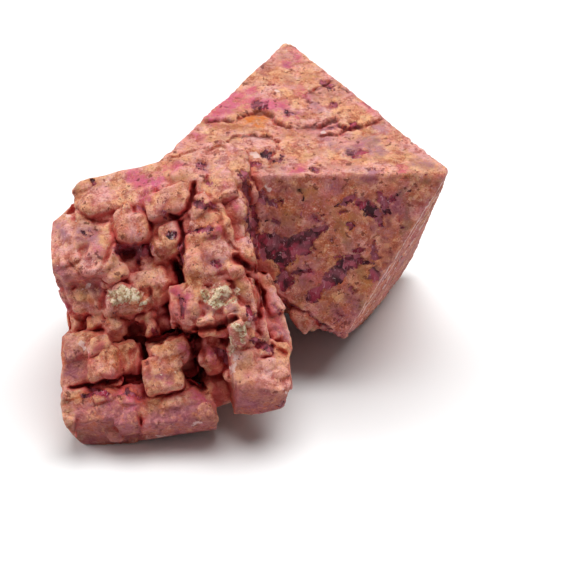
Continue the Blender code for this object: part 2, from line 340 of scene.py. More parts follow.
def fused(v, f, voxel):
    """One closed skin over all the solids, its grid about voxel mm wide."""
    obj = mesh_object("fuse", v, f)
    remesh = obj.modifiers.new("fuse", "REMESH")
    remesh.mode = "VOXEL"
    remesh.voxel_size = voxel
    remesh.adaptivity = 0.0
    out = evaluated(obj)
    bpy.data.objects.remove(obj)
    return out


def thinned(v, f, most):
    if len(f) <= most:
        return v, f
    obj = mesh_object("thin", v, f)
    thin = obj.modifiers.new("thin", "DECIMATE")
    thin.ratio = most / len(f)
    out = evaluated(obj)
    bpy.data.objects.remove(obj)
    return out


def normals(v, f):
    n = np.cross(v[f[:, 1]] - v[f[:, 0]], v[f[:, 2]] - v[f[:, 0]])
    out = np.zeros_like(v)
    for i in range(3):
        for k in range(3):
            out[:, k] += np.bincount(f[:, i], weights=n[:, k], minlength=len(v))
    return out / np.maximum(np.linalg.norm(out, axis=1), 1e-12)[:, None]


def neighbours(v, f):
    e = np.vstack([f[:, [0, 1]], f[:, [1, 2]], f[:, [2, 0]]])
    e = np.vstack([e, e[:, ::-1]])
    return e, np.maximum(np.bincount(e[:, 0], minlength=len(v)), 1)


def averaged(x, links, rounds=1, share=0.6):
    e, count = links
    for _ in range(rounds):
        if x.ndim == 1:
            m = np.bincount(e[:, 0], weights=x[e[:, 1]], minlength=len(x)) / count
        else:
            m = np.stack([np.bincount(e[:, 0], weights=x[e[:, 1], k], minlength=len(x)) / count for k in range(3)], 1)
        x = x + share * (m - x)
    return x


def shelter(v, f, n, reach, rays):
    """0 in the open, 1 where the surroundings close the point in."""
    tree = BVHTree.FromPolygons(v.tolist(), f.tolist())
    rng = np.random.default_rng(3)
    d = rng.normal(size=(rays, 3))
    d /= np.linalg.norm(d, axis=1)[:, None]
    hit = np.zeros(len(v))
    start = v + n * 0.12
    for k in range(rays):
        way = d[k][None, :] + n * 1.05
        way /= np.linalg.norm(way, axis=1)[:, None]
        cast = tree.ray_cast
        for i, (a, w) in enumerate(zip(start.tolist(), way.tolist())):
            got = cast(a, w, reach)[3]
            if got is not None:
                hit[i] += 1 - got / reach * 0.6
    return hit / rays


def finished(name, v, f, fields, material):
    """The piece in the row frame, in metres, with its fields as point attributes."""
    turn = np.array(TO_ROW)
    world = (v @ turn[:3, :3].T + turn[:3, 3]) * 0.001
    world[:, 2] = np.maximum(world[:, 2], 0.0)
    mesh = bpy.data.meshes.new(name)
    mesh.from_pydata(world.tolist(), [], f.tolist())
    mesh.update()
    for key, values in fields.items():
        a = mesh.attributes.new(key, "FLOAT", "POINT")
        a.data.foreach_set("value", np.clip(values, 0, 1).astype(np.float32))
    mesh.polygons.foreach_set("use_smooth", np.ones(len(f), bool))
    mesh.materials.append(material)
    obj = bpy.data.objects.new(name, mesh)
    bpy.context.scene.collection.objects.link(obj)
    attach(obj, "root")
    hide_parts("spinel_crystal")
    print(name, len(f), "triangles")
    return obj


# ---- the large crystal -----------------------------------------------------------
CENTRE = np.array(OCTA_CENTRE)
FACES = np.array([s for s in itertools.product((1, -1), repeat=3)], float)
FACE_NORMALS = FACES @ np.array(OCTA_AXES) / math.sqrt(3)
UPPER, FRONT, SIDE = [int(np.argmax((FACES == s).all(1))) for s in ((1, 1, 1), (1, 1, -1), SIDE_FACE)]

def finer(corner, shapes):
    """Shapes given on a grid four times finer than seen(), counted from the corner."""
    return tuple((r / 4, [(corner[0] + x / 4, corner[1] + y / 4) for x, y in run]) for r, run in shapes)


FRONT_BARE = finer((190, 40), (  # dark glassy places on the front face: (half width, run) or (0, outline)
    (0, [(222, 552), (246, 548), (262, 600), (250, 640), (262, 700), (262, 760), (285, 800), (268, 880), (236, 800), (214, 790), (216, 762), (244, 740), (240, 660), (212, 610)]),
    (0, [(250, 606), (284, 598), (300, 634), (330, 648), (384, 634), (352, 668), (322, 676), (290, 662), (256, 632)]),
    (0, [(262, 776), (300, 762), (340, 768), (400, 790), (440, 764), (500, 752), (548, 738), (536, 776), (486, 812), (478, 850), (424, 850), (404, 902), (378, 922), (330, 886), (290, 872), (262, 834)]),
    (0, [(346, 900), (384, 908), (404, 936), (404, 996), (372, 1014), (352, 966)]), (8, [(400, 934), (440, 926), (482, 924)]),
    (0, [(578, 872), (640, 860), (704, 868), (744, 904), (700, 892), (650, 906), (622, 948), (596, 972), (560, 1000), (520, 1020), (492, 1044), (458, 1034), (466, 996), (512, 986), (530, 946), (560, 914), (584, 900)]),
    (0, [(734, 790), (746, 832), (768, 872), (718, 874), (726, 842)]),
    (0, [(746, 606), (774, 608), (790, 640), (834, 616), (812, 652), (786, 670), (808, 694), (772, 694), (762, 664)]),
    (0, [(668, 648), (722, 646), (768, 688), (786, 752), (752, 744), (742, 712), (700, 702), (676, 682)]),
    (0, [(584, 660), (612, 644), (640, 618), (664, 614), (660, 642), (610, 658)]), (12, [(734, 930), (746, 950), (728, 956)]), (9, [(596, 1096), (610, 1106)]),
    (5, [(440, 600), (452, 614), (464, 634)]), (8, [(506, 716), (520, 728)]), (8, [(664, 848), (690, 846)]), (6, [(540, 700), (556, 706)]), (7, [(632, 740), (650, 752)]),
    (6, [(330, 716), (346, 724)]), (6, [(838, 720), (846, 744)]), (8, [(640, 990), (656, 1004)]), (7, [(300, 700), (306, 712)]), (7, [(424, 700), (440, 704)]),
))
FRONT_MAUVE = finer((190, 40), (
    (22, [(690, 562), (734, 562)]), (30, [(700, 660), (760, 720)]), (24, [(800, 700), (790, 800)]), (26, [(560, 1060), (620, 1110)]), (20, [(500, 720), (530, 740)]),
    (18, [(300, 690), (350, 700)]), (24, [(820, 640), (860, 700)]), (22, [(640, 1010), (660, 1080)]), (20, [(800, 860), (770, 930)]), (20, [(360, 590), (420, 600)]), (18, [(560, 590), (600, 600)]),
))
FRONT_STAIN = finer((190, 40), (
    (20, [(860, 610), (880, 700), (850, 760)]), (12, [(790, 552), (900, 556), (1000, 560)]), (7, [(690, 1030), (684, 1064)]), (10, [(436, 596), (452, 600)]), (14, [(590, 740), (640, 748)]), (8, [(620, 800), (650, 806)]),
))
# pale spots on the front face, mostly painted highlights on glass and crust
FRONT_PALE_AND_GLINT = finer((190, 40), ((9, [(292, 584), (318, 600)]), (3, [(300, 838), (330, 790)]), (5, [(352, 850), (372, 846)]), (6, [(556, 966), (572, 956)]), (4, [(330, 864), (346, 856)]), (4, [(440, 800), (450, 790)])))
FRONT_OCHRE = finer((190, 40), (
    (26, [(470, 610), (520, 640)]), (24, [(410, 880), (500, 890)]), (26, [(320, 700), (400, 720)]), (26, [(600, 700), (640, 820)]), (22, [(440, 960), (480, 980)]), (20, [(300, 920), (330, 950)]), (20, [(680, 920), (700, 980)]),
    (20, [(560, 680), (640, 700)]),
))

TOP_CRACKS = finer((190, 40), (  # runs across the upper face: (half width, points)
    (5, [(60, 335), (110, 325), (182, 324), (230, 298), (262, 284), (300, 288)]), (9, [(230, 300), (262, 290), (300, 292), (330, 314)]), (7, [(322, 300), (342, 330), (400, 352), (450, 352), (524, 350), (560, 328), (584, 322)]),
    (6, [(524, 388), (600, 378), (640, 354), (690, 346), (740, 330), (776, 318)]), (7, [(596, 346), (640, 356), (692, 350)]),
    (6, [(-40, 462), (0, 450), (70, 436), (140, 416), (180, 390), (252, 384), (310, 390), (352, 408)]), (7, [(140, 424), (160, 404), (182, 392)]),
    (5, [(466, 214), (500, 200), (532, 190), (562, 164)]), (4, [(464, 218), (472, 250)]), (3, [(566, 248), (580, 262), (592, 256)]), (4, [(150, 430), (196, 452), (230, 462)]),
    (4, [(324, 460), (352, 440), (344, 414)]), (4, [(300, 450), (330, 480), (320, 500)]), (3, [(590, 182), (630, 210)]), (3, [(700, 250), (720, 270)]),
))
TOP_LEDGES = tuple(  # outlines on the upper face that stand a little proud: (mm, outline)
    (rise, [(190 + x / 4, 40 + y / 4) for x, y in run])
    for rise, run in (
        (0.26, [(-200, 420), (-20, 352), (60, 335), (110, 325), (182, 324), (230, 298), (262, 284), (300, 288), (322, 306), (342, 332), (400, 354), (450, 353), (524, 350), (560, 330), (584, 322), (600, 344), (640, 356), (692, 348), (740, 330), (780, 316), (1100, 240), (700, -300), (-200, -300)]),
        (0.24, [(146, 424), (150, 404), (184, 388), (252, 382), (312, 390), (354, 410), (346, 440), (326, 462), (290, 452), (240, 462), (196, 452)]),
        (0.2, [(466, 216), (500, 200), (534, 188), (562, 162), (640, 210), (700, 280), (640, 320), (560, 300), (470, 262)]),
    )
)
TOP_BARE = finer((190, 40), (
    (10, [(48, 436), (70, 434)]), (12, [(262, 260), (300, 262)]), (10, [(300, 452), (318, 462)]), (10, [(530, 168), (560, 188)]), (8, [(556, 352), (586, 338)]), (9, [(566, 256), (584, 262)]), (7, [(390, 292), (420, 300)]),
    (12, [(226, 478), (244, 498), (270, 500)]), (8, [(606, 348), (676, 352)]), (8, [(640, 458), (700, 452)]), (7, [(350, 480), (372, 476)]), (6, [(496, 520), (504, 524)]), (6, [(40, 492), (50, 496)]),
))
TOP_PINK = finer((190, 40), (
    (34, [(96, 300), (160, 262), (200, 240)]), (24, [(200, 250), (262, 246), (340, 262)]), (16, [(340, 262), (376, 258)]), (16, [(382, 300), (430, 304)]), (18, [(70, 322), (100, 300)]), (14, [(420, 50), (430, 70)]), (14, [(384, 94), (404, 100)]),
    (12, [(440, 200), (460, 230)]), (14, [(240, 210), (262, 190)]), (14, [(690, 250), (720, 270)]), (14, [(400, 528), (440, 530)]), (12, [(840, 520), (860, 524)]), (14, [(0, 400), (40, 380)]),
))
TOP_LILAC = finer((190, 40), (
    (20, [(640, 450), (700, 430), (760, 440)]), (18, [(690, 400), (740, 410)]), (16, [(740, 344), (784, 362)]), (12, [(540, 356), (580, 336)]), (14, [(336, 490), (376, 478)]), (14, [(890, 488), (960, 500)]), (12, [(390, 294), (430, 300)]),
    (12, [(390, 96), (410, 84)]), (12, [(40, 486), (60, 500)]), (10, [(720, 520), (760, 524)]), (14, [(480, 260), (520, 270)]), (10, [(660, 210), (690, 220)]), (12, [(560, 420), (590, 428)]),
))
TOP_OCHRE = finer((190, 40), (
    (22, [(240, 306), (300, 322)]), (16, [(250, 290), (300, 300)]), (18, [(460, 150), (520, 150)]), (18, [(500, 220), (560, 230)]), (18, [(560, 500), (700, 490)]), (16, [(380, 370), (500, 390)]), (14, [(100, 340), (200, 350)]), (14, [(700, 360), (760, 330)]),
    (12, [(860, 470), (960, 500)]),
))
# pale spots on the upper face, partly pale crust and partly painted sparkle highlights
TOP_PALE_AND_GLINT = finer((190, 40), ((6, [(346, 208), (350, 210)]), (12, [(236, 460), (270, 462)]), (7, [(270, 326), (284, 344)]), (6, [(530, 370), (548, 376)]), (4, [(436, 424), (446, 426)]), (5, [(222, 466), (236, 500)]), (4, [(120, 436), (130, 446)])))
TOP_ORANGE = finer((190, 40), (
    (40, [(420, 500), (640, 490)]), (34, [(700, 505), (860, 495)]), (30, [(520, 400), (640, 410)]), (24, [(380, 380), (460, 370)]), (20, [(440, 150), (500, 160)]), (24, [(200, 340), (330, 360)]), (16, [(820, 440), (860, 460)]),
))
FRONT_ORANGE = finer((190, 40), (
    (30, [(320, 650), (420, 690)]), (30, [(470, 620), (600, 640)]), (24, [(420, 900), (500, 960)]), (30, [(640, 760), (700, 840)]), (20, [(560, 1000), (640, 960)]), (20, [(300, 930), (330, 940)]), (16, [(280, 700), (290, 740)]),
))
TOP_GLOW = finer((190, 40), ((15, [(228, 322), (262, 300), (310, 308)]), (9, [(262, 336), (290, 340)])))  # rust in the open pit


def large_face(p):
    """Number of the octahedron face that each point lies on, how far it is from the next face's edge, and the broken places."""
    d = (p - CENTRE) @ FACE_NORMALS.T
    order = np.argsort(-d, axis=1)
    rows = np.arange(len(p))
    gap = (d[rows, order[:, 0]] - d[rows, order[:, 1]]) / 0.9428  # along the face
    broken = np.full(len(p), -9.0)
    for (point, normal), shift in zip(BREAKS, BREAK_SHIFT):
        normal = np.array(normal) / np.linalg.norm(normal)
        broken = np.maximum(broken, (p - point) @ normal - shift)
    return order[:, 0], order[:, 1], gap, broken > -0.25


def large_fields(p):
    q = seen(p)
    face, other, gap, broken = large_face(p)
    wander = 5.5 * fractal(p, 1.6, 3, 11) + 3.2 * fractal(p, 0.6, 2, 12)
    q2 = q + np.stack([4.5 * fractal(p, 1.5, 3, 13), 4.5 * fractal(p, 1.5, 3, 14)], 1)
    free = fractal(p, 5.0, 2, 21) * 7 + fractal(p, 1.9, 3, 22) * 9
    f = {}
    on = {k: (face == n) & ~broken for k, n in (("top", UPPER), ("front", FRONT), ("side", SIDE))}
    rest = ~(on["top"] | on["front"])
    f["bare"] = np.where(rest, free - 4.4, -9.0)
    f["bare"] = np.where(on["side"], free - 7.0, f["bare"])
    f["bare"] = np.where(on["front"], np.maximum(marks(q2, FRONT_BARE) + 0.8 * wander, fractal(p, 1.3, 3, 23) * 9 - 4.8), f["bare"])
    f["bare"] = np.where(on["top"], np.maximum(marks(q2, TOP_BARE) + 0.8 * wander, fractal(p, 1.3, 3, 24) * 9 - 5.8), f["bare"])
    f["bare"] = np.where(broken, free - 1.0, f["bare"])
    f["mauve"] = np.where(rest, free * 0.8 - 1.0 + 4 * broken, -9.0)
    f["mauve"] = np.where(on["front"], np.maximum(marks(q2, FRONT_MAUVE) + wander, fractal(p, 2.6, 3, 25) * 8 - 3.2), f["mauve"])
    f["mauve"] = np.where(on["top"], fractal(p, 2.8, 3, 26) * 8 - 3.6, f["mauve"])
    f["lilac"] = np.where(on["top"], np.maximum(marks(q2, TOP_LILAC) + wander, fractal(p, 2.2, 3, 27) * 8 - 3.4), fractal(p, 2.2, 3, 27) * 8 - 3.0)
    f["pink"] = np.where(on["top"], np.maximum(marks(q2, TOP_PINK) + 1.2 * wander, fractal(p, 3.0, 3, 28) * 8 - 4.6), fractal(p, 3.4, 3, 28) * 8 - 3.8)
    f["ochre"] = fractal(p, 2.4, 3, 29) * 8 - 2.6
    f["ochre"] = np.where(on["top"], np.maximum(marks(q2, TOP_OCHRE) + wander, f["ochre"] - 1), f["ochre"])
    f["ochre"] = np.where(on["front"], np.maximum(marks(q2, FRONT_OCHRE) + wander, f["ochre"] - 0.5), f["ochre"])
    f["stain"] = np.where(on["front"], marks(q2, FRONT_STAIN) + wander, fractal(p, 4.0, 3, 30) * 8 - 4.6)
    f["orange"] = fractal(p, 3.0, 3, 34) * 8 - 2.0
    f["orange"] = np.where(on["top"], np.maximum(marks(q2, TOP_ORANGE) + wander, f["orange"] - 1), f["orange"])
    f["orange"] = np.where(on["front"], np.maximum(marks(q2, FRONT_ORANGE) + wander, f["orange"] - 1), f["orange"])
    f["blush"] = fractal(p, 2.6, 3, 35) * 8 - 2.6
    f["rust"] = np.where(on["top"], marks(q2, TOP_GLOW) + 0.5 * wander, -9.0)
    # pale spots, partly pale crust and partly painted highlights and sparkle
    f["pale"] = np.where(on["front"], marks(q2, FRONT_PALE_AND_GLINT) + 0.5 * wander - 0.6, -9.0)
    f["pale"] = np.where(on["top"], marks(q2, TOP_PALE_AND_GLINT) + 0.6 * wander - 0.6, f["pale"])
    across = gap + 0.16 * fractal(p, 2.4, 2, 31)
    lines = gradient_noise(np.stack([across * 2.6, across * 0 + 3.3, across * 0], 1), 32) + 0.2 * fractal(p, 1.2, 2, 33)
    beside = other == FRONT
    torn = 5.0 * fractal(p, 1.3, 3, 36)
    # painted glint: a bright line along the side face's edge with the front face
    edge_glint_line = np.where(beside, 3.0 - 15 * np.abs(across - 0.12) - np.maximum(torn, -0.5), -9.0)
    # painted glints: bright lines along the layers of the side face
    f["pale"] = np.where(on["side"], np.maximum(np.where(beside, 4.0, 1.6) * lines - 2.4 - 0.6 * torn, edge_glint_line), f["pale"])
    f["mauve"] = np.where(on["side"], -2.4 * lines + 0.2 + fractal(p, 2.2, 3, 37) * 8 - 1.2, f["mauve"])
    q3 = q * 0.4 + q2 * 0.6 + np.stack([1.6 * fractal(p, 0.7, 2, 15), 1.6 * fractal(p, 0.7, 2, 16)], 1)
    cracks = marks(q3, TOP_CRACKS) + 1.5 * fractal(p, 1.9, 2, 58) + 1.5 * fractal(p, 0.8, 2, 60) - 0.35
    f["crack"] = np.where(on["top"], cracks, -30.0)
    f["lines"] = np.where(on["side"], lines, 0.0)
    ledge = np.zeros(len(p))
    for rise, outline in TOP_LEDGES:
        reach = inside(q3, outline)
        ledge = np.maximum(ledge, rise * smooth(reach, -1.0, 1.0) * (1 - smooth(reach, 3, 24)))
    f["ledge"] = np.where(on["top"], ledge * (0.8 + 0.8 * fractal(p, 2.4, 2, 57)), 0.0)
    return f


def large_crystal():
    parts = [octahedron("spinel_crystal", OCTA_CENTRE, OCTA_REACH, OCTA_AXES, 0.1, 0.5, breaks=0.0)]
    for i, (rise, inset) in enumerate(((-0.18, 0.6), (0.02, 1.5), (0.2, 2.9))):
        parts.append(
            octahedron(f"side_layer_{i}", OCTA_CENTRE, OCTA_REACH, OCTA_AXES, 0, 0, (SIDE_FACE, rise, inset), 0.4 + i)
        )
    v, f = fused(*joined(parts), 0.17)
    links = neighbours(v, f)
    v = averaged(v, links, 1, 0.5)
    n = normals(v, f)
    fields = large_fields(v)
    face, other, gap, broken = large_face(v)
    top = face == UPPER
    near, second, own = cells(v + 0.35 * np.stack([fractal(v, 0.9, 2, s) for s in (41, 42, 43)], 1), 1.35, 44)
    plates = (own - 0.5) * smooth(second - near, 0.02, 0.3)
    out = 0.1 + 0.12 * fractal(v, 4.2, 3, 45) + 0.12 * fractal(v, 0.95, 3, 46) + 0.16 * plates
    bare = smooth(fields["bare"], -1.2, 0.9)
    out = out * (1 - 0.75 * bare) - 0.17 * bare
    crack = fields["crack"]
    edge = smooth(-gap, -1.0, 0.0)
    out *= 1 - 0.35 * edge
    out -= (0.44 + 0.3 * fractal(v, 2.6, 2, 56)) * smooth(crack, -1.1, 1.0)
    out += fields["ledge"]
    out += 0.10 * fields["lines"] * smooth(gap, 0.0, 0.5)
    chips = np.maximum(fractal(v, 1.6, 3, 47) - 0.12, 0)
    out += 0.2 * smooth(-gap, -0.5, 0.0)
    out -= 0.55 * chips * smooth(-gap, -0.7, 0.0)
    out += np.where(broken, 0.3 * fractal(v, 1.6, 3, 48) + 0.25 * plates, 0)
    pits = np.maximum(cells(v, 1.1, 49)[0] * -1 + 0.2, 0)
    out -= 0.8 * pits
    v = v + n * out[:, None]
    v, f = thinned(v, f, 196000)
    return v, f


def large_attributes(v, f, deep):
    fields = large_fields(v)
    out = {k: 0.5 + fields[k] / 8 for k in ("bare", "pale")}
    out.update({k: smooth(fields[k], -4, 4) for k in ("mauve", "lilac", "pink", "ochre", "stain", "orange", "blush")})
    # painted shade: the top face's cracks darkened in the colour
    out["dark"] = smooth(fields["crack"], -0.8, 0.9) * (0.76 + 0.24 * smooth(fractal(v, 1.3, 2, 62), -0.3, 0.3))
    out["edge"] = ridges(v, f)
    out["mica"] = np.zeros(len(v))
    out["red"] = 0.6 * smooth(fractal(v, 2.4, 3, 88) * 8 - 3.6, -4, 4)
    # upward faces are painted paler: partly pale dust, partly painted sheen from the overhead light
    up = averaged(normals(v, f), neighbours(v, f), 3, 0.6) @ UP
    out["dust_and_sheen"] = smooth(up, 0.35, 1.0)
    # painted shade: faces turned from the sky are darkened in the colour
    out["low"] = smooth(-up, -0.35, 0.15) * 0.5
    out["rust"] = smooth(fields["rust"], -2, 2)
    out["deep"] = deep
    return out


# ---- the stepped crystal ---------------------------------------------------------
FRONT_BLOCKS = (
    ("top_bar", (-13.9, 12.0, 17.0), (18.8, 5.6, 7.5), 13, 34, 0, (((-0.8, 1, 1), (-1, 1, 0.3)), ((0.8, 1, 1), (1, 1, 0.2)))),
    ("side_slab", (-6.7, 7.7, 18.7), (2.9, 10.2, 6.0), 6, 13, 4, (((0.5, 1, 1), (1, 0.6, 0.5)),)),
    ("left_shoulder", (-22.2, 5.1, 18.6), (7.0, 7.3, 8.0), 11, 28, -10, (((-0.7, 1, 1), (-1, 1.2, 0.2)), ((-0.6, -1, 1), (-1, -1, 0.2)), ((0.7, -1, 1), (1, -1, 0.2)))),
    ("left_foot", (-22.6, 0.0, 15.8), (4.8, 6.2, 9.0), 16, -12, -10, ()),
    ("nub_1", (-16.9, 6.7, 18.7), (3.9, 3.0, 4.0), 10, 22, 0, (((-1, -0.3, 1), (-1, -1, 0)),)),
    ("nub_2", (-13.1, 5.8, 18.7), (3.2, 4.4, 4.0), 24, 14, -8, (((-0.5, -1, 1), (-1, -1, 0.2)),)),
    ("knob_high", (-9.3, 7.6, 19.6), (4.5, 3.9, 5.0), 26, 24, -4, ()),
    ("knob_low", (-8.5, 3.4, 20.6), (5.7, 5.6, 7.0), 15, 8, 4, (((-0.6, 1, 1), (-1, 1, 0.3)), ((0.8, -1, 1), (1, -1, 0.3)))),
    ("mid_plate", (-17.4, 2.0, 17.3), (9.4, 5.2, 4.5), 12, 30, 0, ()),
    ("mid_lump", (-14.0, 0.9, 17.4), (3.4, 3.4, 4.0), 16, 16, 0, ()),
    ("pale_cube", (-21.5, -0.4, 17.5), (3.6, 3.0, 4.0), 8, 20, -10, ()),
    ("mica_lump", (-17.5, -0.9, 17.7), (4.4, 3.0, 4.0), 8, 20, 0, ()),
    ("crumb_shelf", (-18.6, -3.2, 15.8), (9.8, 3.6, 4.0), 10, 14, 0, ()),
    ("crumb_1", (-20.4, -3.4, 16.6), (2.8, 2.2, 3.0), 4, 20, -8, ()),
    ("crumb_2", (-14.6, -3.2, 16.8), (3.0, 2.0, 3.0), 14, 10, 8, ()),
    ("heart_block", (-8.0, -1.5, 21.0), (8.8, 4.6, 6.8), 5, 10, 2, (((-0.72, -1, 1), (-1, -0.55, 0.1)), ((0.7, -1, 1), (0.7, -1, 0.1)))),
    ("right_rib", (-4.4, -1.7, 18.6), (2.6, 7.8, 6.0), 9, 6, 6, ()),
    ("right_slab", (-2.1, -2.5, 15.6), (2.7, 9.2, 6.0), 18, 5, 14, (((0.6, 1, 1), (1, 1, 0.1)), ((-0.5, -1, 1), (-1, -1, 0.1)))),
    ("low_right_block", (-3.25, -7.7, 19.3), (6.5, 6.1, 5.6), -5, 36, 4, (((-0.5, 1, 1), (-1, 1.1, 0)), ((0.8, -1, 0), (1, -1, 0)), ((-1, 0.4, 0), (-1, -0.3, 0)), ((1, 0.3, 0), (1, 0.16, 0)))),
    ("red_block_1", (-9.0, -5.9, 17.0), (2.1, 3.4, 4.0), 12, 8, -10, ()),
    ("red_block_2", (-7.1, -6.6, 16.7), (2.3, 3.0, 4.0), -12, 12, 8, ()),
    ("small_round", (-8.0, -9.9, 15.6), (2.7, 2.8, 4.5), 10, 10, 0, ()),
    ("small_dark", (-11.4, -7.9, 13.8), (3.0, 2.6, 6.0), 14, 10, 0, ()),
    ("wedge", (-13.2, -5.8, 17.3), (4.3, 2.1, 4.0), 18, 36, 0, ()),
    ("centre_cube", (-13.4, -8.9, 19.4), (3.8, 3.5, 5.5), 10, 8, 4, ()),
    ("left_block", (-22.0, -7.4, 17.7), (5.3, 5.6, 6.0), 4, 8, -12, (((0, -0.75, 1), (0.3, -1, 0.7)),)),
    ("left_column_1", (-18.7, -7.3, 16.8), (1.9, 3.6, 5.0), 8, 12, 0, ()),
    ("left_column_2", (-17.0, -7.7, 16.6), (2.0, 3.8, 5.0), 8, 10, 4, ()),
    ("low_left_block", (-20.0, -11.8, 18.4), (8.6, 4.0, 6.8), 4, 35, -4, (((-0.9, -1, 0.2), (-1, -0.8, -0.3)),)),
    ("low_mid_block", (-12.0, -11.8, 18.2), (7.5, 4.7, 5.2), 7, 31, 4, (((0.45, 1, 1), (1, 1, 0)),)),
)


def fine(points):
    """From the finer grid used for the stepped crystal's front to that of seen()."""
    return [(40 + x / 4, 140 + y / 4) for x, y in points]


STEP_GAPS = (  # (width on the fine grid, depth in mm, run)
    (16, 1.6, [(617, 186), (602, 240), (586, 280), (556, 302), (520, 292)]), (10, 0.8, [(395, 238), (420, 288), (440, 300), (482, 290)]),
    (12, 0.9, [(128, 268), (190, 300), (215, 322), (262, 326), (300, 330)]), (12, 1.0, [(290, 330), (297, 400), (270, 452), (254, 500), (228, 542)]),
    (14, 1.2, [(300, 402), (360, 416), (430, 402), (446, 430)]), (13, 1.2, [(442, 330), (446, 400), (470, 450), (520, 482), (560, 560)]),
    (20, 1.6, [(560, 330), (575, 420), (566, 500), (560, 566)]), (34, 1.6, [(540, 500), (548, 545)]), (12, 1.0, [(722, 330), (746, 400), (790, 450), (802, 500)]),
    (12, 1.1, [(838, 150), (830, 220), (850, 280), (862, 340), (880, 420), (890, 480)]), (24, 2.2, [(775, 474), (830, 502), (890, 522)]),
    (11, 0.9, [(130, 572), (200, 545), (252, 550), (276, 570)]), (10, 0.8, [(266, 580), (258, 640), (246, 656)]), (16, 1.1, [(120, 650), (132, 700), (170, 722), (204, 702)]),
    (12, 0.9, [(150, 772), (200, 760), (262, 782), (300, 792)]), (50, 1.9, [(372, 752), (398, 752)]), (24, 1.3, [(244, 768), (256, 774)]),
    (24, 2.3, [(440, 802), (500, 786), (570, 766), (640, 752), (740, 732), (782, 718)]), (34, 1.6, [(466, 806), (500, 790)]), (24, 1.6, [(505, 650), (524, 705), (560, 742), (590, 750)]),
    (34, 2.4, [(622, 762), (626, 830), (604, 885), (600, 930), (648, 1000)]), (46, 2.4, [(590, 920), (618, 962)]), (11, 1.2, [(400, 860), (405, 930), (420, 1000), (430, 1022), (500, 1012), (560, 982)]),
    (16, 1.6, [(130, 992), (200, 982), (262, 962), (330, 952), (400, 945)]), (12, 1.3, [(424, 1000), (404, 1060), (398, 1130), (396, 1210)]), (8, 0.5, [(200, 872), (232, 852), (250, 900)]),
    (10, 1.0, [(640, 1010), (690, 1032), (724, 1042)]), (11, 1.0, [(800, 500), (832, 560), (862, 640), (872, 700), (860, 742)]), (20, 1.8, [(862, 570), (880, 610), (884, 660), (872, 700)]),
    (12, 1.3, [(868, 762), (920, 822), (980, 862)]), (9, 0.8, [(700, 790), (690, 850), (712, 900)]), (9, 0.8, [(640, 782), (660, 860), (662, 922)]), (7, 0.5, [(182, 822), (170, 868), (202, 900)]),
    (9, 0.7, [(290, 702), (350, 690), (420, 692), (452, 702)]), (12, 1.0, [(442, 590), (452, 650), (440, 700), (472, 742)]), (9, 0.7, [(470, 622), (500, 602), (522, 590)]),
    (8, 0.6, [(330, 480), (380, 520), (388, 560)]), (8, 0.6, [(640, 262), (690, 282), (716, 300)]), (8, 0.5, [(600, 350), (660, 362), (724, 352)]), (9, 0.8, [(120, 480), (150, 540), (132, 590)]),
    (9, 0.7, [(270, 862), (266, 930)]), (9, 0.7, [(320, 850), (326, 920)]), (9, 0.8, [(374, 830), (372, 930)]), (8, 0.6, [(210, 700), (230, 740), (290, 742)]),
    (8, 0.7, [(500, 80), (560, 64), (640, 46), (700, 36), (745, 28)]), (8, 0.6, [(520, 590), (560, 640), (590, 700), (640, 742)]), (10, 0.8, [(560, 890), (600, 880), (640, 900)]), (8, 0.6, [(740, 860), (770, 900), (752, 960)]),
)
